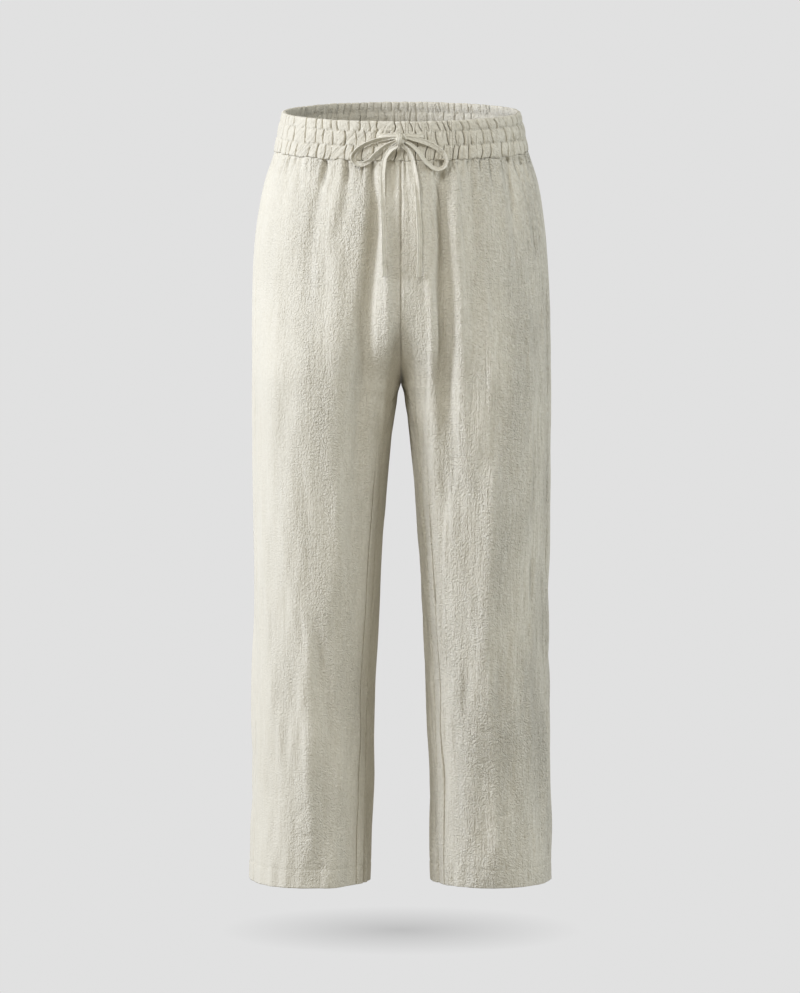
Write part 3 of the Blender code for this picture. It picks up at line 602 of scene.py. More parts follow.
def between(foot, top, fade, level):
    """1 between two heights and 0 past them, turning over a length, fade, round each."""
    risen = smoothstep(foot - fade / 2, foot + fade / 2, level)
    return risen * (1 - smoothstep(top - fade / 2, top + fade / 2, level))


def squared(wave, power):
    """A sine or cosine with a power under 1, for a section squarer than an oval."""
    return np.sign(wave) * np.abs(wave) ** power


def lengths_along(points):
    """How far along a line of points each of them is."""
    return np.concatenate([[0], np.cumsum(np.linalg.norm(np.diff(points, axis=0), axis=1))])


def read_along(at, lengths, points):
    """The place at a length along a line of points."""
    return np.array([np.interp(at, lengths, points[:, axis]) for axis in range(3)])


def smooth_through(keys, values, at):
    """A smooth curve through values at rising keys, level past both ends."""
    keys = np.asarray(keys, float)
    values = np.asarray(values, float)
    slopes = np.gradient(values, keys)
    at = np.clip(at, keys[0], keys[-1])
    k = np.clip(np.searchsorted(keys, at) - 1, 0, len(keys) - 2)
    step = keys[k + 1] - keys[k]
    t = (at - keys[k]) / step
    start = (1 + 2 * t) * (1 - t) ** 2 * values[k] + t * (1 - t) ** 2 * step * slopes[k]
    end = t * t * (3 - 2 * t) * values[k + 1] + t * t * (t - 1) * step * slopes[k + 1]
    return start + end


def uneven(across, down, grain, seed):
    """A smooth seeded unevenness from -height to height, with cells of a grain's size."""
    lattice = np.random.default_rng(seed).uniform(-1, 1, (256, 256))
    a, b = across / grain.across, down / grain.down
    i, j = np.floor(a).astype(int), np.floor(b).astype(int)
    s, t = a - i, b - j
    s, t = s * s * (3 - 2 * s), t * t * (3 - 2 * t)
    low = lattice[i % 256, j % 256] * (1 - s) + lattice[(i + 1) % 256, j % 256] * s
    high = lattice[i % 256, (j + 1) % 256] * (1 - s) + lattice[(i + 1) % 256, (j + 1) % 256] * s
    return grain.height * (low * (1 - t) + high * t)


# The worn outline

def section_at(level):
    """The worn outline's sizes at one height or at an array of heights."""
    rows = sorted(SECTIONS)
    heights = [row.z for row in rows]
    return Section(*(smooth_through(heights, column, level) for column in zip(*rows)))


def fork_angle(level):
    """How far round a leg has closed on itself at a height, in degrees: 0 at the hip, 90 at the crotch."""
    down = np.clip((FORK_TOP_Z - level) / (FORK_TOP_Z - CROTCH_Z), 0.0, 1.0)
    return np.degrees(np.arccos(1 - down**3))


def outline(level, degrees):
    """Points (x, y) of one half. -90 degrees is the front of the leg, 0 its outer side and 90 its back."""
    size = section_at(level)
    closed = np.sin(np.radians(fork_angle(level)))
    leg_centre = (size.outer + size.inner) / 2
    inner_reach = leg_centre - size.inner
    centre = np.where(level <= CROTCH_Z, leg_centre, inner_reach * closed ** (2 / size.round_in))
    angle = np.radians(degrees)
    across, along = np.cos(angle), np.sin(angle)
    power = np.where(across >= 0, 2 / size.round_out, 2 / size.round_in)
    reach = np.where(across >= 0, size.outer - centre, -inner_reach)
    depth = np.where(along >= 0, size.back, -size.front)
    x = centre + reach * np.abs(across) ** power
    y = size.middle + depth * np.abs(along) ** power
    return np.maximum(x, MIDDLE_GAP / 2), y


def end_angles(level):
    """The angles where a half starts and ends: the middle seams, or the inseam of a leg."""
    fork = fork_angle(level)
    forward = INSEAM_AT_LEG * smoothstep(CROTCH_Z, INSEAM_SETTLES_Z, level)
    start = np.where(level >= CROTCH_Z, -90 - fork, -180 + forward)
    end = np.where(level >= CROTCH_Z, 90 + fork, 180 + forward)
    return start, end


def side_seam_angle(level):
    return -smooth_through((CROTCH_Z, FORK_TOP_Z), (SIDE_SEAM_AT_LEG, SIDE_SEAM_AT_HIP), level)


def fold_push(folds, x, level):
    """How far a list of folds moves the cloth out, for rows of distances x at a column of levels."""
    push = np.zeros_like(x)
    for fold in folds:
        shown = between(fold.foot, fold.top, FOLD_FADE, level)
        rows = np.flatnonzero(shown[:, 0] > 0)
        down = np.clip((fold.top - level[rows]) / (fold.top - fold.foot), 0, 1)
        stops = (0, 0.5, 1)
        place = smooth_through(stops, (fold.x_top, fold.x_mid, fold.x_foot), down)
        height = smooth_through(stops, (fold.push_top, fold.push_mid, fold.push_foot), down)
        width = fold.width_top + (fold.width_foot - fold.width_top) * down
        push[rows] += shown[rows] * height * ridge(x[rows] - place, width)
    return push


def crease_push(creases, x, z):
    """How far the finer creases move the cloth out: most at the middle of each, nothing at its ends."""
    push = np.zeros_like(x)
    for crease in creases:
        run = np.array((crease.x_end - crease.x, crease.z_end - crease.z))
        length = np.hypot(*run)
        along = ((x - crease.x) * run[0] + (z - crease.z) * run[1]) / length
        aside = ((x - crease.x) * run[1] - (z - crease.z) * run[0]) / length
        fade = smoothstep(0, CREASE_ENDS * length, along)
        fade = fade * (1 - smoothstep((1 - CREASE_ENDS) * length, length, along))
        push -= crease.depth * fade * ridge(aside, crease.width)
    return push


def outward(x, y):
    """Unit normals of rows of points that run from the front round the outer side to the back."""
    along_x, along_y = np.gradient(x, axis=-1), np.gradient(y, axis=-1)
    length = np.hypot(along_x, along_y)
    return along_y / length, -along_x / length


HalfRings = namedtuple("HalfRings", "arc x y out_x out_y side_seam front_split back_split")


def half_rings(levels, front_folds, back_folds):
    """The cloth's outer line round one half at each level, a row for each."""
    level = np.asarray(levels, float)[:, None]
    start, end = end_angles(level)
    degrees = start + (end - start) * np.linspace(0, 1, HALF_RING_SAMPLES)
    x, y = outline(level, degrees)
    plain_x = x
    out_x, out_y = outward(x, y)
    push = fold_push(front_folds, x, level) * smoothstep(*FOLD_FACING, -out_y)
    push += fold_push(back_folds, x, level) * smoothstep(*FOLD_FACING, out_y)
    x = np.maximum(x + push * out_x, MIDDLE_GAP / 2)
    y = y + push * out_y
    out_x, out_y = outward(x, y)
    arc = np.zeros_like(x)
    arc[:, 1:] = np.cumsum(np.hypot(np.diff(x), np.diff(y)), axis=1)
    seams, fronts, backs = [], [], []
    for r, seam_angle in enumerate(side_seam_angle(level)[:, 0]):
        seams.append(np.interp(seam_angle, degrees[r], arc[r]))
        ahead = degrees[r] <= 0
        behind = (degrees[r] >= 0) & (degrees[r] <= 180)
        fronts.append(np.interp(FRONT_SPLIT_X, plain_x[r, ahead], arc[r, ahead]))
        backs.append(np.interp(BACK_SPLIT_X, plain_x[r, behind][::-1], arc[r, behind][::-1]))
    return HalfRings(arc, x, y, out_x, out_y, *(np.array(found) for found in (seams, fronts, backs)))


def tilted(level, y):
    return level + WAIST_TILT * y * smoothstep(TILT_ENDS_Z, BAND_SEAM_Z, level)


def levels_of(stretches):
    """Levels down a piece from its stretches, each (from, to, how many steps)."""
    levels = [np.linspace(high, low, steps, endpoint=False) for high, low, steps in stretches]
    return np.append(np.concatenate(levels), stretches[-1][1])


def gathered_ring(level):
    """The whole waist's outline at one level, from the front middle by way of +X: x, y, normals and arc."""
    degrees = np.linspace(-90, 90, HALF_RING_SAMPLES)
    x, y = outline(np.full(HALF_RING_SAMPLES, float(level)), degrees)
    x = np.concatenate([x, -x[::-1][1:]])
    y = np.concatenate([y, y[::-1][1:]])
    out_x, out_y = outward(x, y)
    arc = np.concatenate([[0], np.cumsum(np.hypot(np.diff(x), np.diff(y)))])
    return x, y, out_x, out_y, arc


# The waistband's creases, as shares of a turn from the front middle by way of +X

TierCreases = namedtuple("TierCreases", "share lean bend depth width dies")


def tier_place(tier, level):
    """Where a level is in a tier: 0.5 at its top, 0 in its middle and -0.5 at its foot."""
    return (level - (tier.high + tier.low) / 2) / (tier.high - tier.low)


def tier_creases(tier, seed):
    """A tier's creases: the front's from its table, the rest stepped unevenly round the back."""
    rng = np.random.default_rng(seed)
    x, _, _, _, arc = gathered_ring((tier.high + tier.low) / 2)
    quarter = HALF_RING_SAMPLES // 2
    left = np.interp(tier.left, x[:quarter], arc[:quarter])
    right = arc[-1] - np.interp(tier.right, x[:quarter], arc[:quarter])[::-1]
    hidden = left[-1] + np.cumsum(rng.uniform(*BAND_STEP, HIDDEN_CREASES_AT_MOST))
    hidden = hidden[hidden < right[0] - BAND_STEP[0]]
    leans = (tier.lean_left, 0.0, tier.lean_right)
    lean = np.repeat(leans, (len(left), len(hidden), len(right)))
    share = np.concatenate([left, hidden, right]) / arc[-1]
    count = len(share)
    return TierCreases(
        share,
        lean + rng.uniform(*CREASE_LEAN_MORE, count),
        rng.uniform(*CREASE_BEND, count),
        rng.uniform(*CREASE_DEPTH, count),
        rng.uniform(*CREASE_WIDTH, count),
        rng.uniform(-1.0, 1.0, count),
    )


BAND_CREASES = [tier_creases(tier, BAND_SEED + number) for number, tier in enumerate(BAND_TIERS)]


def tier_relief(number, share, level, turn_length):
    """How far a tier stands off at shares of a turn: soft cushions between narrow sharp creases."""
    tier, creases = BAND_TIERS[number], BAND_CREASES[number]
    place = tier_place(tier, level)
    moved = creases.bend * (1 - 4 * place * place) - creases.lean * place
    at = creases.share + moved / turn_length
    order = np.argsort(at)
    at = np.concatenate([at[order] - 1, at[order], at[order] + 1])
    of_creases = (creases.depth, creases.width, creases.dies)
    depth, width, dies = (np.tile(values[order], 3) for values in of_creases)
    depth = depth * (1 - np.abs(dies) * np.clip(0.5 + np.sign(dies) * place, 0, 1) ** CREASE_DYING)
    share = np.mod(share, 1.0)
    cell = np.searchsorted(at, share, side="right") - 1
    size = (at[cell + 1] - at[cell]) * turn_length
    aside = (share - at[cell]) * turn_length
    across = aside / size
    cushion = np.clip(CUSHION_SHARE * size, *CUSHION_HEIGHT)
    cushion = cushion * (4 * across * (1 - across)) ** CUSHION_ROUNDNESS
    cuts = depth[cell] * hump(aside, width[cell])
    cuts += depth[cell + 1] * hump(size - aside, width[cell + 1])
    return cushion - cuts * (CREASE_CUT - tier.deepens * place)


def tier_swell(share, level):
    """How far the tiers swell out along one level: most in a tier's middle, nothing at its rows."""
    places = [tier_place(tier, level) for tier in BAND_TIERS]
    fullness = max(0.0, *(1 - 4 * place * place for place in places))
    from_front = np.abs(np.mod(share + 0.5, 1.0) - 0.5)
    least, most = TIER_SWELL
    swell = least + (most - least) * smoothstep(*TIER_SWELL_TURNS, np.sin(2 * math.pi * share))
    return swell * fullness * smoothstep(*TIER_SWELL_FROM, from_front)


def band_relief(share, level, turn_length):
    """How far the waistband's outside stands off its plain outline along one level."""
    middles = [(tier.high + tier.low) / 2 for tier in BAND_TIERS]
    number = int(np.argmin([abs(level - middle) for middle in middles]))
    relief = tier_relief(number, share, level, turn_length)
    for above, row in enumerate(BAND_STITCH_LEVELS):
        if abs(level - row) < ROW_BLEND:
            mix = smoothstep(row - ROW_BLEND, row + ROW_BLEND, level)
            upper = tier_relief(above, share, level, turn_length)
            lower = tier_relief(above + 1, share, level, turn_length)
            relief = mix * upper + (1 - mix) * lower
    relief = relief + tier_swell(share, level)
    at, down = share * turn_length, np.full_like(share, level)
    nearest = min(abs(level - row) for row in (*BAND_STITCH_LEVELS, BAND_SEAM_Z))
    relief -= ROW_PINCH * hump(nearest, ROW_PINCH_WIDTH)
    relief -= BAND_FOOT_PINCH * hump(level - BAND_SEAM_Z, ROW_PINCH_WIDTH)
    relief += uneven(at + down, down, ROW_FRILL, seed=90) * hump(nearest, ROW_FRILL_WIDTH)
    relief += uneven(at, down, BAND_GRAINS[0], seed=91) + uneven(at, down, BAND_GRAINS[1], seed=92)
    lines = hump(uneven(at, down, FINE_CREASE, seed=93), FINE_CREASE_SHARPNESS)
    shown = smoothstep(*FINE_CREASE_SHOWN, uneven(at, down, FINE_CREASE_PATCH, seed=94))
    relief -= FINE_CREASE_DEPTH * lines * shown
    return np.maximum(relief, CREASE_DEEPEST)


def seam_wave(x, y, z):
    """How far the band's seam rises and falls round the waist, dying out above and below it."""
    angle = np.arctan2(x, -y)
    wave = uneven(angle * SEAM_WAVE_RADIUS, np.zeros_like(angle), SEAM_WAVE, seed=96)
    wave = wave * (1 - smoothstep(*SEAM_WAVE_FADE, np.abs(angle)))
    return wave * hump(z - BAND_SEAM_Z, SEAM_WAVE_REACH)


# Meshes

def put_in_scene(name, data):
    """A new object for the camera, a lamp or the floor."""
    obj = bpy.data.objects.new(name, data)
    bpy.context.scene.collection.objects.link(obj)
    return obj


Lattice = namedtuple("Lattice", "points arcs levels out")


def add_mesh(name, points, faces, material, uvs=None, smooth=True):
    """One piece from points in millimetres. uvs, in metres along and down the cloth, has a row a point."""
    mesh = bpy.data.meshes.new(name)
    mesh.from_pydata((np.asarray(points, float) * MM).tolist(), [], faces)
    mesh.materials.append(material)
    if smooth:
        mesh.shade_smooth()
    if uvs is not None:
        corners = np.empty(len(mesh.loops), np.int32)
        mesh.loops.foreach_get("vertex_index", corners)
        layer = mesh.uv_layers.new(name="cloth")
        layer.uv.foreach_set("vector", (np.asarray(uvs, float) * MM)[corners].astype(np.float32).ravel())
    obj = bpy.data.objects.new(name, mesh)
    TROUSERS.objects.link(obj)
    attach(obj, "root")
    return obj


def wall_faces(rows, columns):
    """Quads of a grid of points, in rows of columns, facing out."""
    r, c = np.meshgrid(np.arange(rows - 1), np.arange(columns - 1), indexing="ij")
    a = (r * columns + c).ravel()
    return np.column_stack([a, a + columns, a + columns + 1, a + 1])


def tube_faces(rings, count, closed):
    """Quads between rings of count points each. A closed tube's last ring joins its first."""
    faces = []
    for r in range(rings if closed else rings - 1):
        here, there = r * count, (r + 1) % rings * count
        for c in range(count):
            beside = (c + 1) % count
            faces.append((here + c, here + beside, there + beside, there + c))
    return faces


def cloth_wall(name, outer, inner, arcs, levels, mirrored, material):
    """A closed wall of cloth: a fine outside, an inside with every second row and column, and edges."""
    rows, columns = outer.shape[:2]
    few_rows, few_columns = inner.shape[:2]
    base = rows * columns
    faces = wall_faces(rows, columns).tolist()
    faces += (wall_faces(few_rows, few_columns)[:, ::-1] + base).tolist()
    fine = np.arange(base).reshape(rows, columns)
    coarse = np.arange(base, base + few_rows * few_columns).reshape(few_rows, few_columns)
    edges = (
        (fine[0], coarse[0], True),
        (fine[-1], coarse[-1], False),
        (fine[:, 0], coarse[:, 0], False),
        (fine[:, -1], coarse[:, -1], True),
    )
    for many, few, forward in edges:
        many, few = many.tolist(), few.tolist()
        for k in range(len(few) - 1):
            face = (many[2 * k], many[2 * k + 1], many[2 * k + 2], few[k + 1], few[k])
            faces.append(face if forward else face[::-1])
    points = np.concatenate([outer.reshape(-1, 3), inner.reshape(-1, 3)])
    flat = np.stack([arcs, np.broadcast_to(levels[:, None], arcs.shape)], axis=-1)
    uvs = np.concatenate([flat.reshape(-1, 2), flat[::2, ::2].reshape(-1, 2)])
    if mirrored:
        points = points * (-1, 1, 1)
        faces = [face[::-1] for face in faces]
    return add_mesh(name, points, faces, material, uvs)


def on_rings(rings, arcs, levels, relief, from_middle=None):
    """Points on the cloth at arcs of each row, moved out by relief, and the normals there. Along the middle
    seams the edge stays in the middle plane, so that the two sides meet."""
    x, y, out_x, out_y = (
        np.stack([np.interp(arcs[r], rings.arc[r], values[r]) for r in range(len(levels))])
        for values in (rings.x, rings.y, rings.out_x, rings.out_y)
    )
    height = tilted(levels[:, None], y)
    sideways = relief * out_x
    if from_middle is not None:
        joined = smoothstep(CROTCH_Z - MIDDLE_STRIP_FADE, CROTCH_Z, levels[:, None])
        sideways = sideways * (1 - joined * (1 - smoothstep(0, MIDDLE_STRIP, from_middle)))
    moved_x = np.maximum(x + sideways, MIDDLE_GAP / 2)
    points = np.stack([moved_x, y + relief * out_y, height], axis=-1)
    return points, np.stack([out_x, out_y, np.zeros_like(out_x)], axis=-1), x, height


def pocket_lip(level, from_seam):
    """Along a pocket's mouth the front panel's edge stands off."""
    mouth = between(POCKET_FOOT_Z, POCKET_TOP_Z, POCKET_FADE, level)
    return POCKET_LIP * mouth * (1 - smoothstep(0, POCKET_LIP_WIDTH, from_seam))


def gather_grooves(share, level, turn_length):
    """The waistband's lowest creases run on into the panels and die out at uneven depths."""
    push = np.zeros_like(share)
    rng = np.random.default_rng(GATHER_SEED)
    for crease, lean in zip(BAND_CREASES[-1].share, BAND_CREASES[-1].lean):
        depth, reach = rng.uniform(*GATHER_GROOVE_DEPTH), rng.uniform(*GATHER_GROOVE_REACH)
        drift = rng.uniform(*GATHER_GROOVE_DRIFT)
        down = (BAND_SEAM_Z - level) / reach
        rows = np.flatnonzero(down[:, 0] < 1)
        aside = (share[rows] - crease) * turn_length[rows] - lean / 2 - drift * down[rows]
        below = smoothstep(0, GATHER_GROOVE_FULL_BELOW, BAND_SEAM_Z - level[rows])
        below = GATHER_GROOVE_AT_SEAM + (1 - GATHER_GROOVE_AT_SEAM) * below
        fade = (1 - down[rows]) ** GATHER_GROOVE_FADE * below
        width = GATHER_GROOVE_WIDTH * (1 + GATHER_GROOVE_SPREAD * down[rows])
        push[rows] -= depth * fade * ridge(aside, width)
    return push


def crinkle(across, down, seed):
    """The washed cloth's own fine relief: soft upright ridges, broken into pebbles in patches."""
    swayed = across + uneven(across, down, CRINKLE_SWAY, seed)
    patches = uneven(across, down, CRINKLE_PATCHES, seed + 1)
    relief = uneven(swayed, down, CRINKLE_STREAKS, seed + 2)
    relief = relief + uneven(swayed, down, CRINKLE_PEBBLES, seed + 3) * smoothstep(*PEBBLES_SHOWN, patches)
    rolls = uneven(swayed, down, CRINKLE_WAVES, seed + 4) + uneven(swayed, down, CRINKLE_ROLLS, seed + 5)
    return relief + rolls * (1 + LOWER_ROLLS * (1 - smoothstep(*LOWER_ROLLS_FROM, down)))


def seam_relief(from_edge, down, seed):
    """Beside a seam the edge rolls in and the cloth puckers."""
    roll = -SEAM_ROLL * hump(from_edge, SEAM_ROLL_WIDTH)
    return roll + uneven(from_edge, down, PUCKER, seed) * np.exp(-from_edge / PUCKER_WIDTH)


Half = namedtuple("Half", "side mirrored front_folds back_folds front_creases back_creases seed grain")
HALVES = (
    Half("left", False, FRONT_LEFT_FOLDS, BACK_LEFT_FOLDS, FRONT_LEFT_CREASES, BACK_LEFT_CREASES, 100, 2.6),
    Half(
        "right", True, FRONT_RIGHT_FOLDS, BACK_RIGHT_FOLDS, FRONT_RIGHT_CREASES, BACK_RIGHT_CREASES, 200, 0.5
    ),
)


def inseam_line(rings):
    """The arc on each level of the line beside the inseam, INSEAM_LINE_IN across from the inner edge."""
    count = HALF_RING_SAMPLES // 3
    found = [np.interp(x[0] + INSEAM_LINE_IN, x[:count], arc[:count]) for x, arc in zip(rings.x, rings.arc)]
    return np.array(found)[:, None]


def panel(half, piece, mesh, material):
    """One panel's wall, and its outside lattice for the sewing."""
    levels = levels_of(mesh.rows)
    rings = half_rings(levels, half.front_folds, half.back_folds)
    level = levels[:, None]
    seam = rings.side_seam
    gap = np.where(levels > CROTCH_Z, 0.0, SEAM_GAP / 2)
    half_columns = mesh.columns // 2
    if piece == "front":
        ends = (gap, rings.front_split, seam - SEAM_GAP / 2)
        creases, seed = half.front_creases, half.seed
    else:
        ends = (seam + SEAM_GAP / 2, rings.back_split, rings.arc[:, -1] - gap)
        creases, seed = half.back_creases, half.seed + 50
    start, split, end = (values[:, None] for values in ends)
    steps = np.linspace(0, 1, half_columns + 1)
    first = (split - start) * steps
    if piece == "front":
        line_at = inseam_line(rings)
        beside = line_at + INSEAM_LINE_WIDTH * np.array(INSEAM_LINE_COLUMNS) - start
        first = (split - start) * np.linspace(0, 1, half_columns + 1 - beside.shape[1])
        first = np.sort(np.concatenate([first, beside], axis=1), axis=1)
    arcs = np.concatenate([start + first, split + (end - split) * steps[1:]], axis=1)
    _, normals, x, z = on_rings(rings, arcs, levels, np.zeros_like(arcs))
    turn_length = 2 * rings.arc[:, -1:]
    share = arcs / turn_length
    share = 1 - share if half.mirrored else share
    relief = crease_push(creases, x, z) * smoothstep(*CREASE_FACING, np.abs(normals[..., 1]))
    relief += gather_grooves(share, level, turn_length)
    across = arcs - seam[:, None]
    fine = crinkle(across, z, seed)
    sides = half.grain * smoothstep(*SIDE_FACING, np.abs(normals[..., 0]))
    fine += uneven(across, z, CRINKLE_SIDES, seed + 7) * sides
    fine *= smoothstep(*CRINKLE_HELD, BAND_SEAM_Z - level)
    for from_edge in (end - arcs, arcs - start):
        fine *= smoothstep(0, CRINKLE_CLEAR_OF_SEAM, from_edge)
    relief += fine
    for number, from_edge in enumerate((arcs - start, end - arcs)):
        relief += seam_relief(from_edge, z, seed + 20 + number)
    relief -= PANEL_TOP_PINCH * hump(level - BAND_SEAM_Z, ROW_PINCH_WIDTH)
    relief -= HEM_STITCH_DIP * hump(level - (HEM_Z + HEM_TURN_UP), HEM_STITCH_WIDTH)
    if piece == "front":
        relief += pocket_lip(level, seam[:, None] - arcs)
        line = INSEAM_LINE_DEPTH * hump(arcs - line_at, INSEAM_LINE_WIDTH)
        relief -= line * (1 - smoothstep(*INSEAM_LINE_FROM, level))
    thickness = np.where(levels > HEM_Z + HEM_TURN_UP, CLOTH, HEM_CLOTH)[:, None]
    from_middle = arcs - start if piece == "front" else end - arcs
    outer, normals, _, _ = on_rings(rings, arcs, levels, relief, from_middle)
    inner = on_rings(rings, arcs, levels, relief - thickness, from_middle)[0][::2, ::2]
    way = -1 if half.mirrored else 1
    for wall, at_level in ((outer, level), (inner, level[::2])):
        wall[..., 2] += seam_wave(way * wall[..., 0], wall[..., 1], at_level)
    obj = cloth_wall(f"{piece}_{half.side}_cloth", outer, inner, across, levels, half.mirrored, material)
    if half.mirrored:
        outer = outer * (-1, 1, 1)
        normals = normals * (-1, 1, 1)
    return obj, Lattice(outer, arcs, levels, normals)


def facing(half, material):
    levels = levels_of(FACING_ROWS)
    rings = half_rings(levels, half.front_folds, half.back_folds)
    arcs = rings.side_seam[:, None] + np.linspace(-FACING_FRONT, FACING_BACK, FACING_COLUMNS + 1)
    relief = np.full_like(arcs, -CLOTH - FACING_GAP)
    outer = on_rings(rings, arcs, levels, relief)[0]
    inner = on_rings(rings, arcs, levels, relief - FACING_CLOTH)[0][::2, ::2]
    return cloth_wall(f"pocket_facing_{half.side}_cloth", outer, inner, arcs, levels, half.mirrored, material)


def band_shares():
    """Places round the band as shares of a turn, closer together across the front."""
    front = np.linspace(-0.25, 0.25, BAND_FRONT_COLUMNS, endpoint=False)
    back = np.linspace(0.25, 0.75, BAND_BACK_COLUMNS, endpoint=False)
    return np.sort(np.mod(np.concatenate([front, back]), 1.0))


def band_ring(share, level):
    """The band's outline at shares of a turn on one level: x, y, normals, arc and the outside's relief."""
    *lines, arc = gathered_ring(level)
    at = share * arc[-1]
    return (*(np.interp(at, arc, values) for values in lines), at, band_relief(share, level, arc[-1]))


def inside_of_band(relief, level):
    """How far off the inner face lies, from the outer one's relief. The stitched rows draw it in."""
    behind = np.minimum(-INSIDE_SHARE * relief - BAND_WALL, relief - BAND_LEAST_WALL)
    nearest = min(abs(level - row) for row in BAND_STITCH_LEVELS)
    behind = behind + INSIDE_ROW_PINCH * hump(nearest, ROW_PINCH_WIDTH)
    return np.minimum(behind, relief - BAND_LEAST_WALL)


def waistband(material):
    """One gathered ring of cloth. Rows run up from the seam outside, over the rim and down inside."""
    share = band_shares()
    radius = BAND_WALL / 2
    foot, top = BAND_SEAM_Z + SEAM_GAP, RIM_Z - radius
    rows = [(level, 0.0, 0.0, 0.0) for level in np.linspace(foot, top, BAND_OUTSIDE_ROWS)]
    for turn in np.linspace(0, math.pi, BAND_RIM_ROWS + 2)[1:-1]:
        inward = radius * (1 - math.cos(turn))
        rows.append((top, radius * math.sin(turn), inward, inward / BAND_WALL))
    rows += [(level, 0.0, BAND_WALL, 1.0) for level in np.linspace(top, foot, BAND_INSIDE_ROWS)]
    points, uvs = [], []
    for level, rise, inward, inside in rows:
        x, y, out_x, out_y, at, relief = band_ring(share, level)
        off = (relief - inward) * (1 - inside) + inside_of_band(relief, level) * inside
        down = np.full_like(at, level)
        notch = uneven(at, down, RIM_NOTCH, seed=95) + RIM_FOLLOWS_RELIEF * relief
        notch = notch * smoothstep(RIM_Z - RIM_NOTCH_REACH, RIM_Z, level + rise)
        height = tilted(level, y) + rise + notch + seam_wave(x, y, down)
        points.append(np.column_stack([x + off * out_x, y + off * out_y, height]))
        uvs.append(np.column_stack([at, down]))
    faces = tube_faces(len(points), len(share), closed=True)
    return add_mesh("waistband_cloth", np.concatenate(points), faces, material, np.concatenate(uvs))


# The drawstring

def front_face(x, z):
    """The depth of the garment's front at a place seen from the front, before its folds."""
    y = -section_at(z).front
    for _ in range(TILT_PASSES):
        size = section_at(z - WAIST_TILT * y * smoothstep(TILT_ENDS_Z, BAND_SEAM_Z, z))
        y = -size.front * (1 - (abs(x) / size.outer) ** size.round_out) ** (1 / size.round_out)
    return float(y)


def knot_centre():
    return np.array((KNOT_X, front_face(KNOT_X, KNOT_Z) - KNOT_OFF, KNOT_Z))


TapeRun = namedtuple("TapeRun", "centres sides faces widths")


def tape_run(stops):
    """A flat tape's middle line with its sideways and facing directions, cut where it enters the knot."""
    stations = np.array([(s.x, front_face(s.x, s.z) - s.off, s.z) for s in stops])
    gone = lengths_along(stations)
    at = np.arange(0, gone[-1], TAPE_SAMPLE)
    centres = np.column_stack([smooth_through(gone, stations[:, axis], at) for axis in range(3)])
    turns = np.radians(smooth_through(gone, [s.turn for s in stops], at))[:, None]
    widths = smooth_through(gone, [s.width for s in stops], at)
    tangents = np.gradient(centres, axis=0)
    tangents /= np.linalg.norm(tangents, axis=1, keepdims=True)
    across = np.cross((0.0, -1.0, 0.0), tangents)
    across /= np.linalg.norm(across, axis=1, keepdims=True)
    face = np.cross(tangents, across)
    sides = np.cos(turns) * across + np.sin(turns) * face
    faces = np.cos(turns) * face - np.sin(turns) * across
    reach = np.array(KNOT_SIZE) / 2 - KNOT_SINK
    clear = np.flatnonzero(np.linalg.norm((centres - knot_centre()) / reach, axis=1) > 1)
    count = max(TAPE_FEWEST_RINGS, round((clear[-1] - clear[0]) * TAPE_SAMPLE / TAPE_RING_STEP)) + 1
    kept = np.linspace(clear[0], clear[-1], count).round().astype(int)
    return TapeRun(centres[kept], sides[kept], faces[kept], widths[kept])


def tape_section(width):
    """Points round a folded tape, as (aside, out): its edges are fuller than the middle."""
    angle = np.linspace(0, 2 * math.pi, TAPE_SECTION_POINTS, endpoint=False)
    aside = squared(np.cos(angle), TAPE_SIDE_POWER)
    out = squared(np.sin(angle), TAPE_FACE_POWER)
    fuller = hump(np.abs(aside) - TAPE_EDGE, TAPE_EDGE_BEAD)
    thickness = TAPE_MIDDLE_THICKNESS + (TAPE_EDGE_THICKNESS - TAPE_MIDDLE_THICKNESS) * fuller
    thickness = TAPE_THICKNESS * thickness
    return aside * width / 2, out * thickness / 2


def tape(name, stops, material, seed):
    """The tape's mesh and its middle line, a little uneven along its length."""
    run = tape_run(stops)
    gone = np.arange(len(run.centres)) * TAPE_RING_STEP
    wave = uneven(gone, gone * 0, TAPE_WAVE, seed)
    narrow = 1 + uneven(gone, gone * 0, TAPE_NARROWING, seed + 1)
    rings = []
    for k, (centre, side, face, width) in enumerate(zip(*run)):
        aside, out = tape_section(width * narrow[k])
        curl = TAPE_CURL * (aside / (width / 2)) ** 2
        rings.append(centre + np.outer(aside, side) + np.outer(out + curl + wave[k], face))
    count = TAPE_SECTION_POINTS
    faces = [tuple(range(count))[::-1], tuple(range((len(rings) - 1) * count, len(rings) * count))]
    faces += tube_faces(len(rings), count, closed=False)
    around = np.linspace(0, 2 * TAPE_WIDTH, count)
    uvs = [(across, along) for along in gone for across in around]
    obj = add_mesh(name, np.concatenate(rings), faces, material, uvs)
    return obj, run


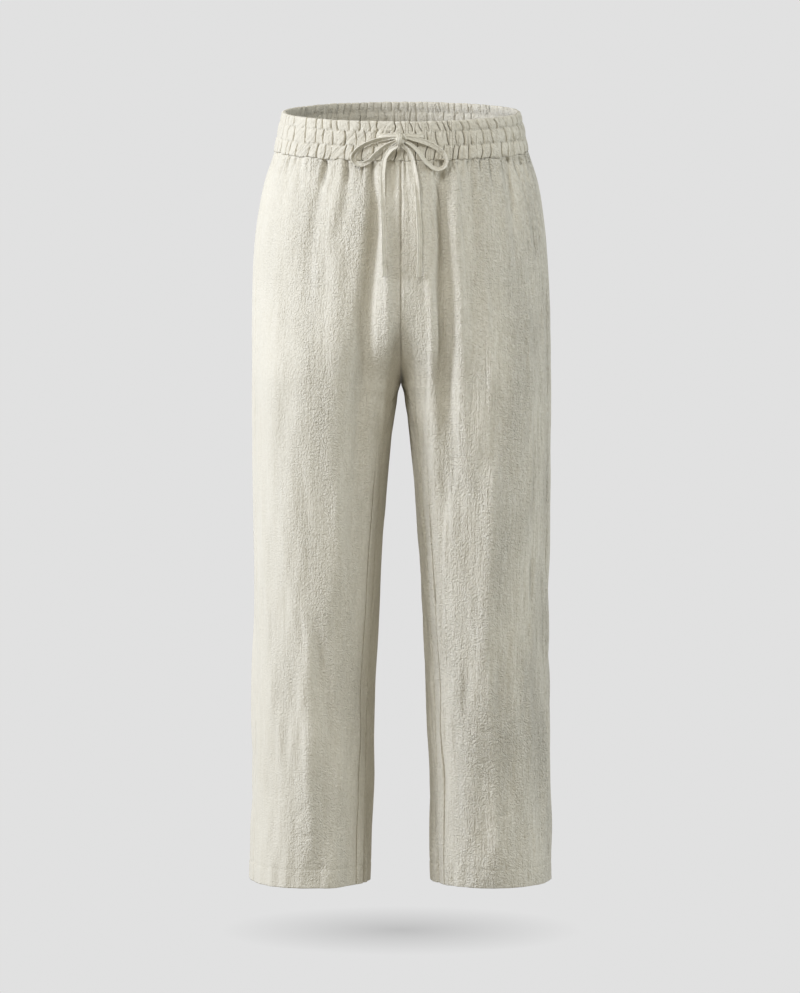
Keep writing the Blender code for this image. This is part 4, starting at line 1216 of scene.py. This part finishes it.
def knot_fold(fold, material):
    """A loop of tape wrapped over the knot from top to bottom, with lengthwise furrows."""
    turns = np.linspace(0, 2 * math.pi, KNOT_FOLD_RINGS, endpoint=False)
    section = np.linspace(0, 2 * math.pi, KNOT_FOLD_SECTION_POINTS, endpoint=False)
    lean = math.radians(fold.tilt)
    points = []
    for turn in turns:
        middle = np.array((0.0, -fold.depth / 2 * math.cos(turn), fold.height / 2 * math.sin(turn)))
        out = np.array((0.0, -math.cos(turn), math.sin(turn) * KNOT_FOLD_FLATTER_BEHIND))
        out /= np.linalg.norm(out)
        reach = fold.width / 2 * (KNOT_FOLD_WIDTH + KNOT_FOLD_WIDER_IN_FRONT * math.cos(turn))
        for angle in section:
            aside = reach * squared(math.cos(angle), KNOT_FOLD_SIDE_POWER)
            furrow = KNOT_FOLD_FURROW * math.cos(fold.furrows * 2 * math.pi * aside / fold.width)
            crown = KNOT_FOLD_CROWN * (2 * aside / fold.width) ** 2
            thick = TAPE_THICKNESS / 2 * squared(math.sin(angle), KNOT_FOLD_FACE_POWER)
            points.append(middle + (aside, 0, 0) + out * (thick - crown + furrow))
    points = np.array(points)
    x, z = points[:, 0].copy(), points[:, 2].copy()
    points[:, 0] = x * math.cos(lean) + z * math.sin(lean)
    points[:, 2] = z * math.cos(lean) - x * math.sin(lean)
    points += knot_centre() + np.array(fold.offset)
    rows, count = len(turns), len(section)
    uvs = [(0.4 * c, 0.9 * r) for r in range(rows) for c in range(count)]
    return add_mesh(fold.name, points, tube_faces(rows, count, closed=True), material, uvs)


def knot_core(material):
    """The bundle of tape inside the knot, whose sides show beside the wrap."""
    turns = np.linspace(0, 2 * math.pi, KNOT_CORE_AROUND, endpoint=False)
    drops = np.linspace(0, math.pi, KNOT_CORE_DOWN)
    points = []
    for drop in drops:
        for turn in turns:
            way = np.array((math.cos(turn) * math.sin(drop), math.sin(turn) * math.sin(drop), math.cos(drop)))
            bulge = 1 + 0.06 * math.sin(3 * turn + 4 * drop) + 0.05 * math.sin(9 * drop)
            points.append(knot_centre() + way * np.array(KNOT_CORE_SIZE) * bulge)
    faces = wall_faces(len(drops), len(turns)).tolist()
    last = len(turns) - 1
    for r in range(len(drops) - 1):
        a = r * len(turns)
        faces.append([a + last, a + last + len(turns), a + len(turns), a])
    return add_mesh("knot_core", points, faces, material)


# Sewing

def stitches(name, lines, material, sewing=CLOTH_SEWING):
    """Rows of single stitches as one mesh. Each line is (points, normals) along the cloth."""
    ring = np.linspace(0, 2 * math.pi, THREAD_SIDES, endpoint=False)
    points, faces = [], []
    for line, normals in lines:
        gone = lengths_along(line)
        for middle in np.arange(sewing.pitch / 2, gone[-1], sewing.pitch):
            half = sewing.length / 2
            ends = [read_along(middle + shift, gone, line) for shift in (-half, half)]
            up = read_along(middle, gone, normals)
            up /= np.linalg.norm(up)
            tangent = ends[1] - ends[0]
            side = np.cross(tangent, up)
            side /= np.linalg.norm(side)
            first = len(points)
            for along, size, out in STITCH_RINGS:
                centre = (ends[0] + ends[1]) / 2 + along * tangent + up * sewing.radius * out
                for angle in ring:
                    way = math.cos(angle) * side + math.sin(angle) * up
                    points.append(centre + sewing.radius * size * way)
            for face in tube_faces(len(STITCH_RINGS), THREAD_SIDES, closed=False):
                faces.append(tuple(first + corner for corner in face))
            faces.append(tuple(range(first, first + THREAD_SIDES))[::-1])
            faces.append(tuple(range(len(points) - THREAD_SIDES, len(points))))
    obj = add_mesh(name, points, faces, material)
    return obj


def across_panel(lattice, level):
    """The line across a panel at one level."""
    row = int(np.argmin(np.abs(lattice.levels - level)))
    return lattice.points[row], lattice.out[row]


def down_panel(lattice, from_start, top, foot):
    """The line down a panel at a distance from its first edge."""
    rows = np.flatnonzero((lattice.levels <= top) & (lattice.levels >= foot))
    at = lattice.arcs[rows, 0] + from_start
    return tuple(
        np.array([read_along(at[k], lattice.arcs[r], values[r]) for k, r in enumerate(rows)])
        for values in (lattice.points, lattice.out)
    )


def round_band(level, inside=False):
    """The line round the waistband's outside, or its inside, at one level."""
    x, y, out_x, out_y, _, off = band_ring(np.append(band_shares(), 1.0), level)
    off = inside_of_band(off, level) if inside else off
    line = np.column_stack([x + off * out_x, y + off * out_y, tilted(level, y)])
    way = -1 if inside else 1
    return line, way * np.column_stack([out_x, out_y, np.zeros_like(out_x)])


def tape_edges(run):
    """The two stitch lines on a tape's front."""
    lines = []
    for way in (-1, 1):
        aside = way * TAPE_EDGE_LINE * run.widths[:, None] / 2
        out = TAPE_THICKNESS / 2 * TAPE_EDGE_LINE_OUT + TAPE_CURL * TAPE_EDGE_LINE**2
        lines.append((run.centres + aside * run.sides + out * run.faces, run.faces))
    return lines


# Materials: effects that several cloths share are node groups

def set_inputs(node, values):
    """Sets a node's own sockets by name."""
    for label, value in values.items():
        node.inputs[label].default_value = value


def new_group(name, inputs, outputs):
    """An empty node group with named inputs (name, kind, default) and outputs (name, kind)."""
    group = bpy.data.node_groups.new(name, "ShaderNodeTree")
    for label, kind, value in inputs:
        socket = group.interface.new_socket(label, in_out="INPUT", socket_type=kind)
        if value is not None:
            socket.default_value = value
    for label, kind in outputs:
        group.interface.new_socket(label, in_out="OUTPUT", socket_type=kind)
    start = group.nodes.new("NodeGroupInput")
    end = group.nodes.new("NodeGroupOutput")
    return group, start, end


def math_node(tree, operation, first, second=None):
    """A Math node. Each of its inputs is a socket or a number."""
    node = tree.nodes.new("ShaderNodeMath")
    node.operation = operation
    for socket, value in zip(node.inputs, (first, second)):
        if value is None:
            continue
        if isinstance(value, (int, float)):
            socket.default_value = value
        else:
            tree.links.new(value, socket)
    return node.outputs[0]


def times(tree, first, second):
    return math_node(tree, "MULTIPLY", first, second)


def plus(tree, first, second):
    return math_node(tree, "ADD", first, second)


def map_range(tree, value, source, target):
    """A value that runs from target[0] to target[1] while the input runs from source[0] to source[1]."""
    node = tree.nodes.new("ShaderNodeMapRange")
    set_inputs(node, dict(zip(("From Min", "From Max", "To Min", "To Max"), (*source, *target))))
    tree.links.new(value, node.inputs["Value"])
    return node.outputs["Result"]


def colour_mix(tree, share, first, second):
    """Two colours mixed by a share from 0 to 1. The second is a socket or a colour."""
    mix = tree.nodes.new("ShaderNodeMix")
    mix.data_type = "RGBA"
    mix.clamp_factor = True
    tree.links.new(share, mix.inputs["Factor"])
    tree.links.new(first, mix.inputs["A"])
    if isinstance(second, tuple):
        mix.inputs["B"].default_value = second
    else:
        tree.links.new(second, mix.inputs["B"])
    return mix.outputs["Result"]


def stretched_noise(tree, vector, scale, detail, roughness=0.5, turn=0.0):
    """Noise of a vector scaled by three numbers, as a socket from 0 to 1. turn, in degrees, slants it."""
    changes = [{"Scale": scale}]
    if turn:
        changes.insert(0, {"Rotation": (0.0, math.radians(turn), 0.0)})
    for change in changes:
        mapping = tree.nodes.new("ShaderNodeMapping")
        set_inputs(mapping, change)
        tree.links.new(vector, mapping.inputs["Vector"])
        vector = mapping.outputs[0]
    noise = tree.nodes.new("ShaderNodeTexNoise")
    set_inputs(noise, {"Scale": 1.0, "Detail": detail, "Roughness": roughness})
    tree.links.new(vector, noise.inputs["Vector"])
    return noise.outputs["Fac"]


def weave_group():
    """A plain weave from the cloth's own coordinates: how high each thread stands."""
    group, start, end = new_group(
        "plain weave",
        (("Cloth", "NodeSocketVector", None), ("Threads", "NodeSocketFloat", 1500.0)),
        (("Height", "NodeSocketFloat"),),
    )
    parts = group.nodes.new("ShaderNodeSeparateXYZ")
    group.links.new(start.outputs["Cloth"], parts.inputs[0])
    wobble = stretched_noise(group, start.outputs["Cloth"], (300.0, 300.0, 1.0), 2.0)
    threads = []
    for axis in ("X", "Y"):
        turned = times(group, parts.outputs[axis], start.outputs["Threads"])
        turned = plus(group, turned, times(group, wobble, WEAVE_WOBBLE))
        threads.append(math_node(group, "SINE", times(group, turned, 2 * math.pi)))
    crossed = times(group, threads[0], threads[1])
    group.links.new(times(group, plus(group, crossed, 1.0), 0.5), end.inputs["Height"])
    return group


def crinkle_group():
    """Washed linen's crinkle: upright streaks with pebbles in patches, and a painted shade mottle for its
    hollows.
    """
    group, start, end = new_group(
        "washed crinkle and hollow shade",
        (("Place", "NodeSocketVector", None), ("Pebbles", "NodeSocketFloat", 0.5)),
        (("Height", "NodeSocketFloat"), ("Hollow", "NodeSocketFloat")),
    )
    place = start.outputs["Place"]
    parts = group.nodes.new("ShaderNodeSeparateXYZ")
    group.links.new(place, parts.inputs[0])
    smoother = map_range(group, parts.outputs["X"], CRINKLE_SMOOTH_X, (CRINKLE_SMOOTHEST, 1.0))
    rougher = map_range(group, parts.outputs["X"], CRINKLE_ROUGH_X, (1.0, CRINKLE_ROUGHEST))
    strength = times(group, smoother, rougher)
    streaks = stretched_noise(group, place, (400.0, 400.0, 24.0), 2.0, 0.6)
    pebbles = stretched_noise(group, place, (640.0, 640.0, 400.0), 1.0, 0.5, 40.0)
    patch = stretched_noise(group, place, (22.0, 22.0, 7.0), 1.0)
    lines = stretched_noise(group, place, (110.0, 110.0, 9.0), 1.0)
    line = math_node(group, "ABSOLUTE", math_node(group, "SUBTRACT", lines, 0.5))
    line = math_node(group, "MINIMUM", times(group, line, LINE_SHARPNESS), 1.0)
    share = times(group, patch, start.outputs["Pebbles"])
    height = plus(group, times(group, streaks, STREAK_SHARE), times(group, pebbles, share))
    height = plus(group, height, times(group, line, LINE_SHARE))
    # A mottle of painted shade for the crinkle's hollows, stronger where the crinkle is rougher
    grooves = stretched_noise(group, place, (300.0, 300.0, 20.0), 1.0)
    dimples = stretched_noise(group, place, (330.0, 330.0, 230.0), 0.0, 0.5, 40.0)
    hollow_shade = math_node(group, "SUBTRACT", plus(group, grooves, dimples), 1.0)
    group.links.new(times(group, height, strength), end.inputs["Height"])
    group.links.new(times(group, hollow_shade, strength), end.inputs["Hollow"])
    return group


def slub_and_shade_group():
    """Undyed linen's colour: thick and thin yarns as upright streaks, a slow change of tone, and painted
    shade.
    """
    group, start, end = new_group(
        "slub colour and painted shade",
        (
            ("Place", "NodeSocketVector", None),
            ("Pale", "NodeSocketColor", (0.8, 0.8, 0.8, 1)),
            ("Deep", "NodeSocketColor", (0.5, 0.5, 0.5, 1)),
            ("Contrast", "NodeSocketFloat", 0.5),
            ("Hollow", "NodeSocketFloat", 0.0),
            ("Curve", "NodeSocketFloat", 0.5),
        ),
        (("Colour", "NodeSocketColor"),),
    )
    place = start.outputs["Place"]
    warp = stretched_noise(group, place, (620.0, 620.0, 14.0), 3.0, 0.65)
    weft = stretched_noise(group, place, (30.0, 30.0, 700.0), 2.0, 0.5)
    tone = stretched_noise(group, place, (14.0, 14.0, 9.0), 2.0)
    warp, weft, tone = (times(group, part, share) for part, share in zip((warp, weft, tone), SLUB_SHARES))
    mixed = plus(group, plus(group, warp, weft), tone)
    centred = math_node(group, "SUBTRACT", mixed, 0.5)
    share = plus(group, times(group, centred, start.outputs["Contrast"]), 0.5)
    # Painted shade: the crinkle's mottle darkens the colour as if its hollows held shade
    share = plus(group, share, times(group, start.outputs["Hollow"], HOLLOW_SHADE_TINT))
    cloth = colour_mix(group, share, start.outputs["Pale"], start.outputs["Deep"])
    # Painted shade in creases: where Pointiness is low the colour is mixed toward a dark brown
    crease = map_range(group, start.outputs["Curve"], CREASE_SHADE_CURVE, CREASE_SHADE_TINT)
    group.links.new(colour_mix(group, crease, cloth, CREASE_SHADE_COLOUR), end.inputs["Colour"])
    return group


WEAVE = weave_group()
CRINKLE = crinkle_group()
SLUBS_AND_SHADE = slub_and_shade_group()


def place_group(tree, group, **values):
    """A group node in a material, with its inputs set by name to numbers, colours or sockets."""
    node = tree.nodes.new("ShaderNodeGroup")
    node.node_tree = group
    for label, value in values.items():
        socket = node.inputs[label]
        if isinstance(value, bpy.types.NodeSocket):
            tree.links.new(value, socket)
        else:
            socket.default_value = value
    return node


def new_material(name):
    """A material with its node tree and its main shader."""
    material = bpy.data.materials.new(name)
    material.use_nodes = True
    return material, material.node_tree, material.node_tree.nodes["Principled BSDF"]


def bump(tree, height, depth):
    """A Bump node of a height, as deep as depth in millimetres."""
    node = tree.nodes.new("ShaderNodeBump")
    set_inputs(node, {"Distance": depth * MM})
    tree.links.new(height, node.inputs["Height"])
    return node


def linen(name, pale, deep, contrast=1.3, crinkle_depth=1.5, pebbles=3.0, weave_depth=0.05):
    """A washed linen cloth. Depths are in millimetres."""
    material, tree, shader = new_material(name)
    place = tree.nodes.new("ShaderNodeTexCoord").outputs["Object"]
    cloth = tree.nodes.new("ShaderNodeUVMap")
    cloth.uv_map = "cloth"
    # Pointiness drives the painted shade in creases
    surface = tree.nodes.new("ShaderNodeNewGeometry")
    crumple = place_group(tree, CRINKLE, Place=place, Pebbles=pebbles)
    colour = place_group(
        tree,
        SLUBS_AND_SHADE,
        Place=place,
        Pale=pale,
        Deep=deep,
        Contrast=contrast,
        Hollow=crumple.outputs["Hollow"],
        Curve=surface.outputs["Pointiness"],
    )
    weave = place_group(tree, WEAVE, Cloth=cloth.outputs[0], Threads=WEAVE_THREADS)
    coarse = bump(tree, crumple.outputs["Height"], crinkle_depth)
    fine = bump(tree, weave.outputs["Height"], weave_depth)
    tree.links.new(coarse.outputs[0], fine.inputs["Normal"])
    tree.links.new(fine.outputs[0], shader.inputs["Normal"])
    tree.links.new(colour.outputs["Colour"], shader.inputs["Base Color"])
    set_inputs(shader, LINEN_FINISH)
    return material


def thread(name, colour, roughness):
    """Spun sewing thread, whose deep tone is a darker cast of the colour."""
    material, tree, shader = new_material(name)
    place = tree.nodes.new("ShaderNodeTexCoord").outputs["Object"]
    deep = (*(THREAD_DEEP_SHARE * value for value in colour[:3]), 1)
    tint = place_group(tree, SLUBS_AND_SHADE, Place=place, Pale=colour, Deep=deep, Contrast=1.0)
    tree.links.new(tint.outputs["Colour"], shader.inputs["Base Color"])
    set_inputs(shader, {"Roughness": roughness})
    return material


PALE_LINEN = (0.74, 0.695, 0.575, 1)
DEEP_LINEN = (0.60, 0.55, 0.43, 1)
PANEL_LINEN = linen("washed linen", PALE_LINEN, DEEP_LINEN)
# The waistband's linen is the panels' cloth made a little darker: painted shade for its fine gathers
BAND_LINEN = linen("gathered linen", (0.72, 0.675, 0.555, 1), (0.57, 0.52, 0.405, 1), crinkle_depth=0.8)
# The tape's linen is the same cloth made paler: painted light, so that the tape stands out against the panels
TAPE_LINEN = linen("drawstring tape linen", (0.80, 0.755, 0.63, 1), (0.64, 0.59, 0.465, 1), crinkle_depth=0.8)
THREAD = thread("sewing thread", (0.76, 0.715, 0.60, 1), 0.6)


# Making the pieces

def make_camera():
    camera = put_in_scene("camera", bpy.data.cameras.new("camera"))
    camera.data.lens = CAMERA_LENS
    camera.data.clip_end = CAMERA_SEES
    camera.location = (CAMERA_ASIDE, -CAMERA_AWAY, CAMERA_HEIGHT)
    camera.rotation_euler = (math.radians(90 - CAMERA_PITCH), 0, 0)
    bpy.context.scene.camera = camera


def make_drawstring():
    """The bow: its leads, loops, tails and knot, and the stitches along the tape's edges."""
    pieces, runs = {}, {}
    for number, (name, stops) in enumerate(
        (
            ("lead_left", LEFT_LEAD),
            ("lead_right", RIGHT_LEAD),
            ("loop_left", LEFT_LOOP),
            ("loop_right", RIGHT_LOOP),
            ("tail_left", LEFT_TAIL),
            ("tail_right", RIGHT_TAIL),
        )
    ):
        pieces[name], runs[name] = tape(f"tape_{name}", stops, TAPE_LINEN, TAPE_SEED + 10 * number)
        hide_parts(f"drawstring_{name}")
    wrap, second = (knot_fold(fold, TAPE_LINEN) for fold in KNOT_FOLDS)
    core = knot_core(TAPE_LINEN)
    for piece in (wrap, second, core):
        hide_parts("drawstring_knot")
    edges = {name: tape_edges(run) for name, run in runs.items()}
    lines = [line for name in edges for line in edges[name]]
    sewing = stitches("tape_edge_stitches", lines, THREAD, TAPE_SEWING)


def make_cloth():
    """The panels, facings and waistband, and all the rows of sewing."""
    lattices = {}
    for half in HALVES:
        for piece, mesh, flat, area in (
            ("front", FRONT_MESH, (0.285, 0.985), 0.215),
            ("back", BACK_MESH, (0.395, 0.985), 0.330),
        ):
            name = f"{piece}_{half.side}"
            obj, lattices[name] = panel(half, piece, mesh, PANEL_LINEN)
            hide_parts(name)
        obj = facing(half, PANEL_LINEN)
        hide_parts(f"pocket_facing_{half.side}")
    band = waistband(BAND_LINEN)
    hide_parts("waistband")
    hem = [across_panel(lattices[name], HEM_Z + HEM_TURN_UP - HEM_STITCHES_BELOW) for name in lattices]
    stitches("hem_stitches", hem, THREAD)
    rows = [round_band(level, inside) for level in BAND_STITCH_LEVELS for inside in (False, True)]
    stitches("waistband_stitches", rows, THREAD)
    middle = [down_panel(lattices["front_left"], *FRONT_SEAM_STITCHES)]
    stitches("front_seam_stitches", middle, THREAD)


def make_lamp(lamp):
    """A round soft lamp, aimed at the thighs."""
    light = bpy.data.lights.new(lamp.name, "AREA")
    light.shape = "DISK"
    light.size = lamp.size
    light.color = lamp.colour
    light.energy = lamp.power
    obj = put_in_scene(lamp.name, light)
    obj.location = lamp.place
    obj.rotation_mode = "QUATERNION"
    obj.rotation_quaternion = (Vector(LAMPS_AIM) - Vector(lamp.place)).to_track_quat("-Z", "Y")


def make_floor():
    """A plain pale floor that glows evenly, with a soft oval shadow painted into its glow below the garment.
    """
    far = FLOOR_SIZE / 2
    mesh = bpy.data.meshes.new("floor")
    mesh.from_pydata([(-far, -far, 0), (far, -far, 0), (far, far, 0), (-far, far, 0)], [], [(0, 1, 2, 3)])
    floor = put_in_scene("floor", mesh)
    floor.location.z = (HEM_Z - FLOOR_BELOW_HEM) * MM
    pale, tree, shader = new_material("pale floor")
    set_inputs(shader, {"Base Color": (0, 0, 0, 1), "Specular IOR Level": 0.0, "Emission Strength": 1.0})
    coordinates = tree.nodes.new("ShaderNodeTexCoord")
    mapping = tree.nodes.new("ShaderNodeMapping")
    mapping.vector_type = "TEXTURE"
    set_inputs(mapping, {"Location": SHADOW_CENTRE, "Scale": SHADOW_REACH})
    oval = tree.nodes.new("ShaderNodeTexGradient")
    oval.gradient_type = "SPHERICAL"
    tree.links.new(coordinates.outputs["Object"], mapping.inputs["Vector"])
    tree.links.new(mapping.outputs[0], oval.inputs["Vector"])
    shade = times(tree, math_node(tree, "POWER", oval.outputs["Fac"], SHADOW_FALL), -SHADOW_DEPTH)
    glow = plus(tree, times(tree, shade, FLOOR_GLOW), FLOOR_GLOW)
    tree.links.new(glow, shader.inputs["Emission Color"])
    mesh.materials.append(pale)
    floor.visible_diffuse = False


def make_studio():
    """Soft light: a cool key from the left, weak fills in front and at the right, and pale light all round."""
    make_floor()
    for lamp in LAMPS:
        make_lamp(lamp)
    world = bpy.data.worlds.new("studio")
    world.use_nodes = True
    background = world.node_tree.nodes["Background"]
    set_inputs(background, {"Color": ROOM_COLOUR, "Strength": ROOM_LIGHT})
    bpy.context.scene.world = world
    bpy.context.scene.view_settings.view_transform = "Standard"


make_camera()
make_drawstring()
make_cloth()
make_studio()
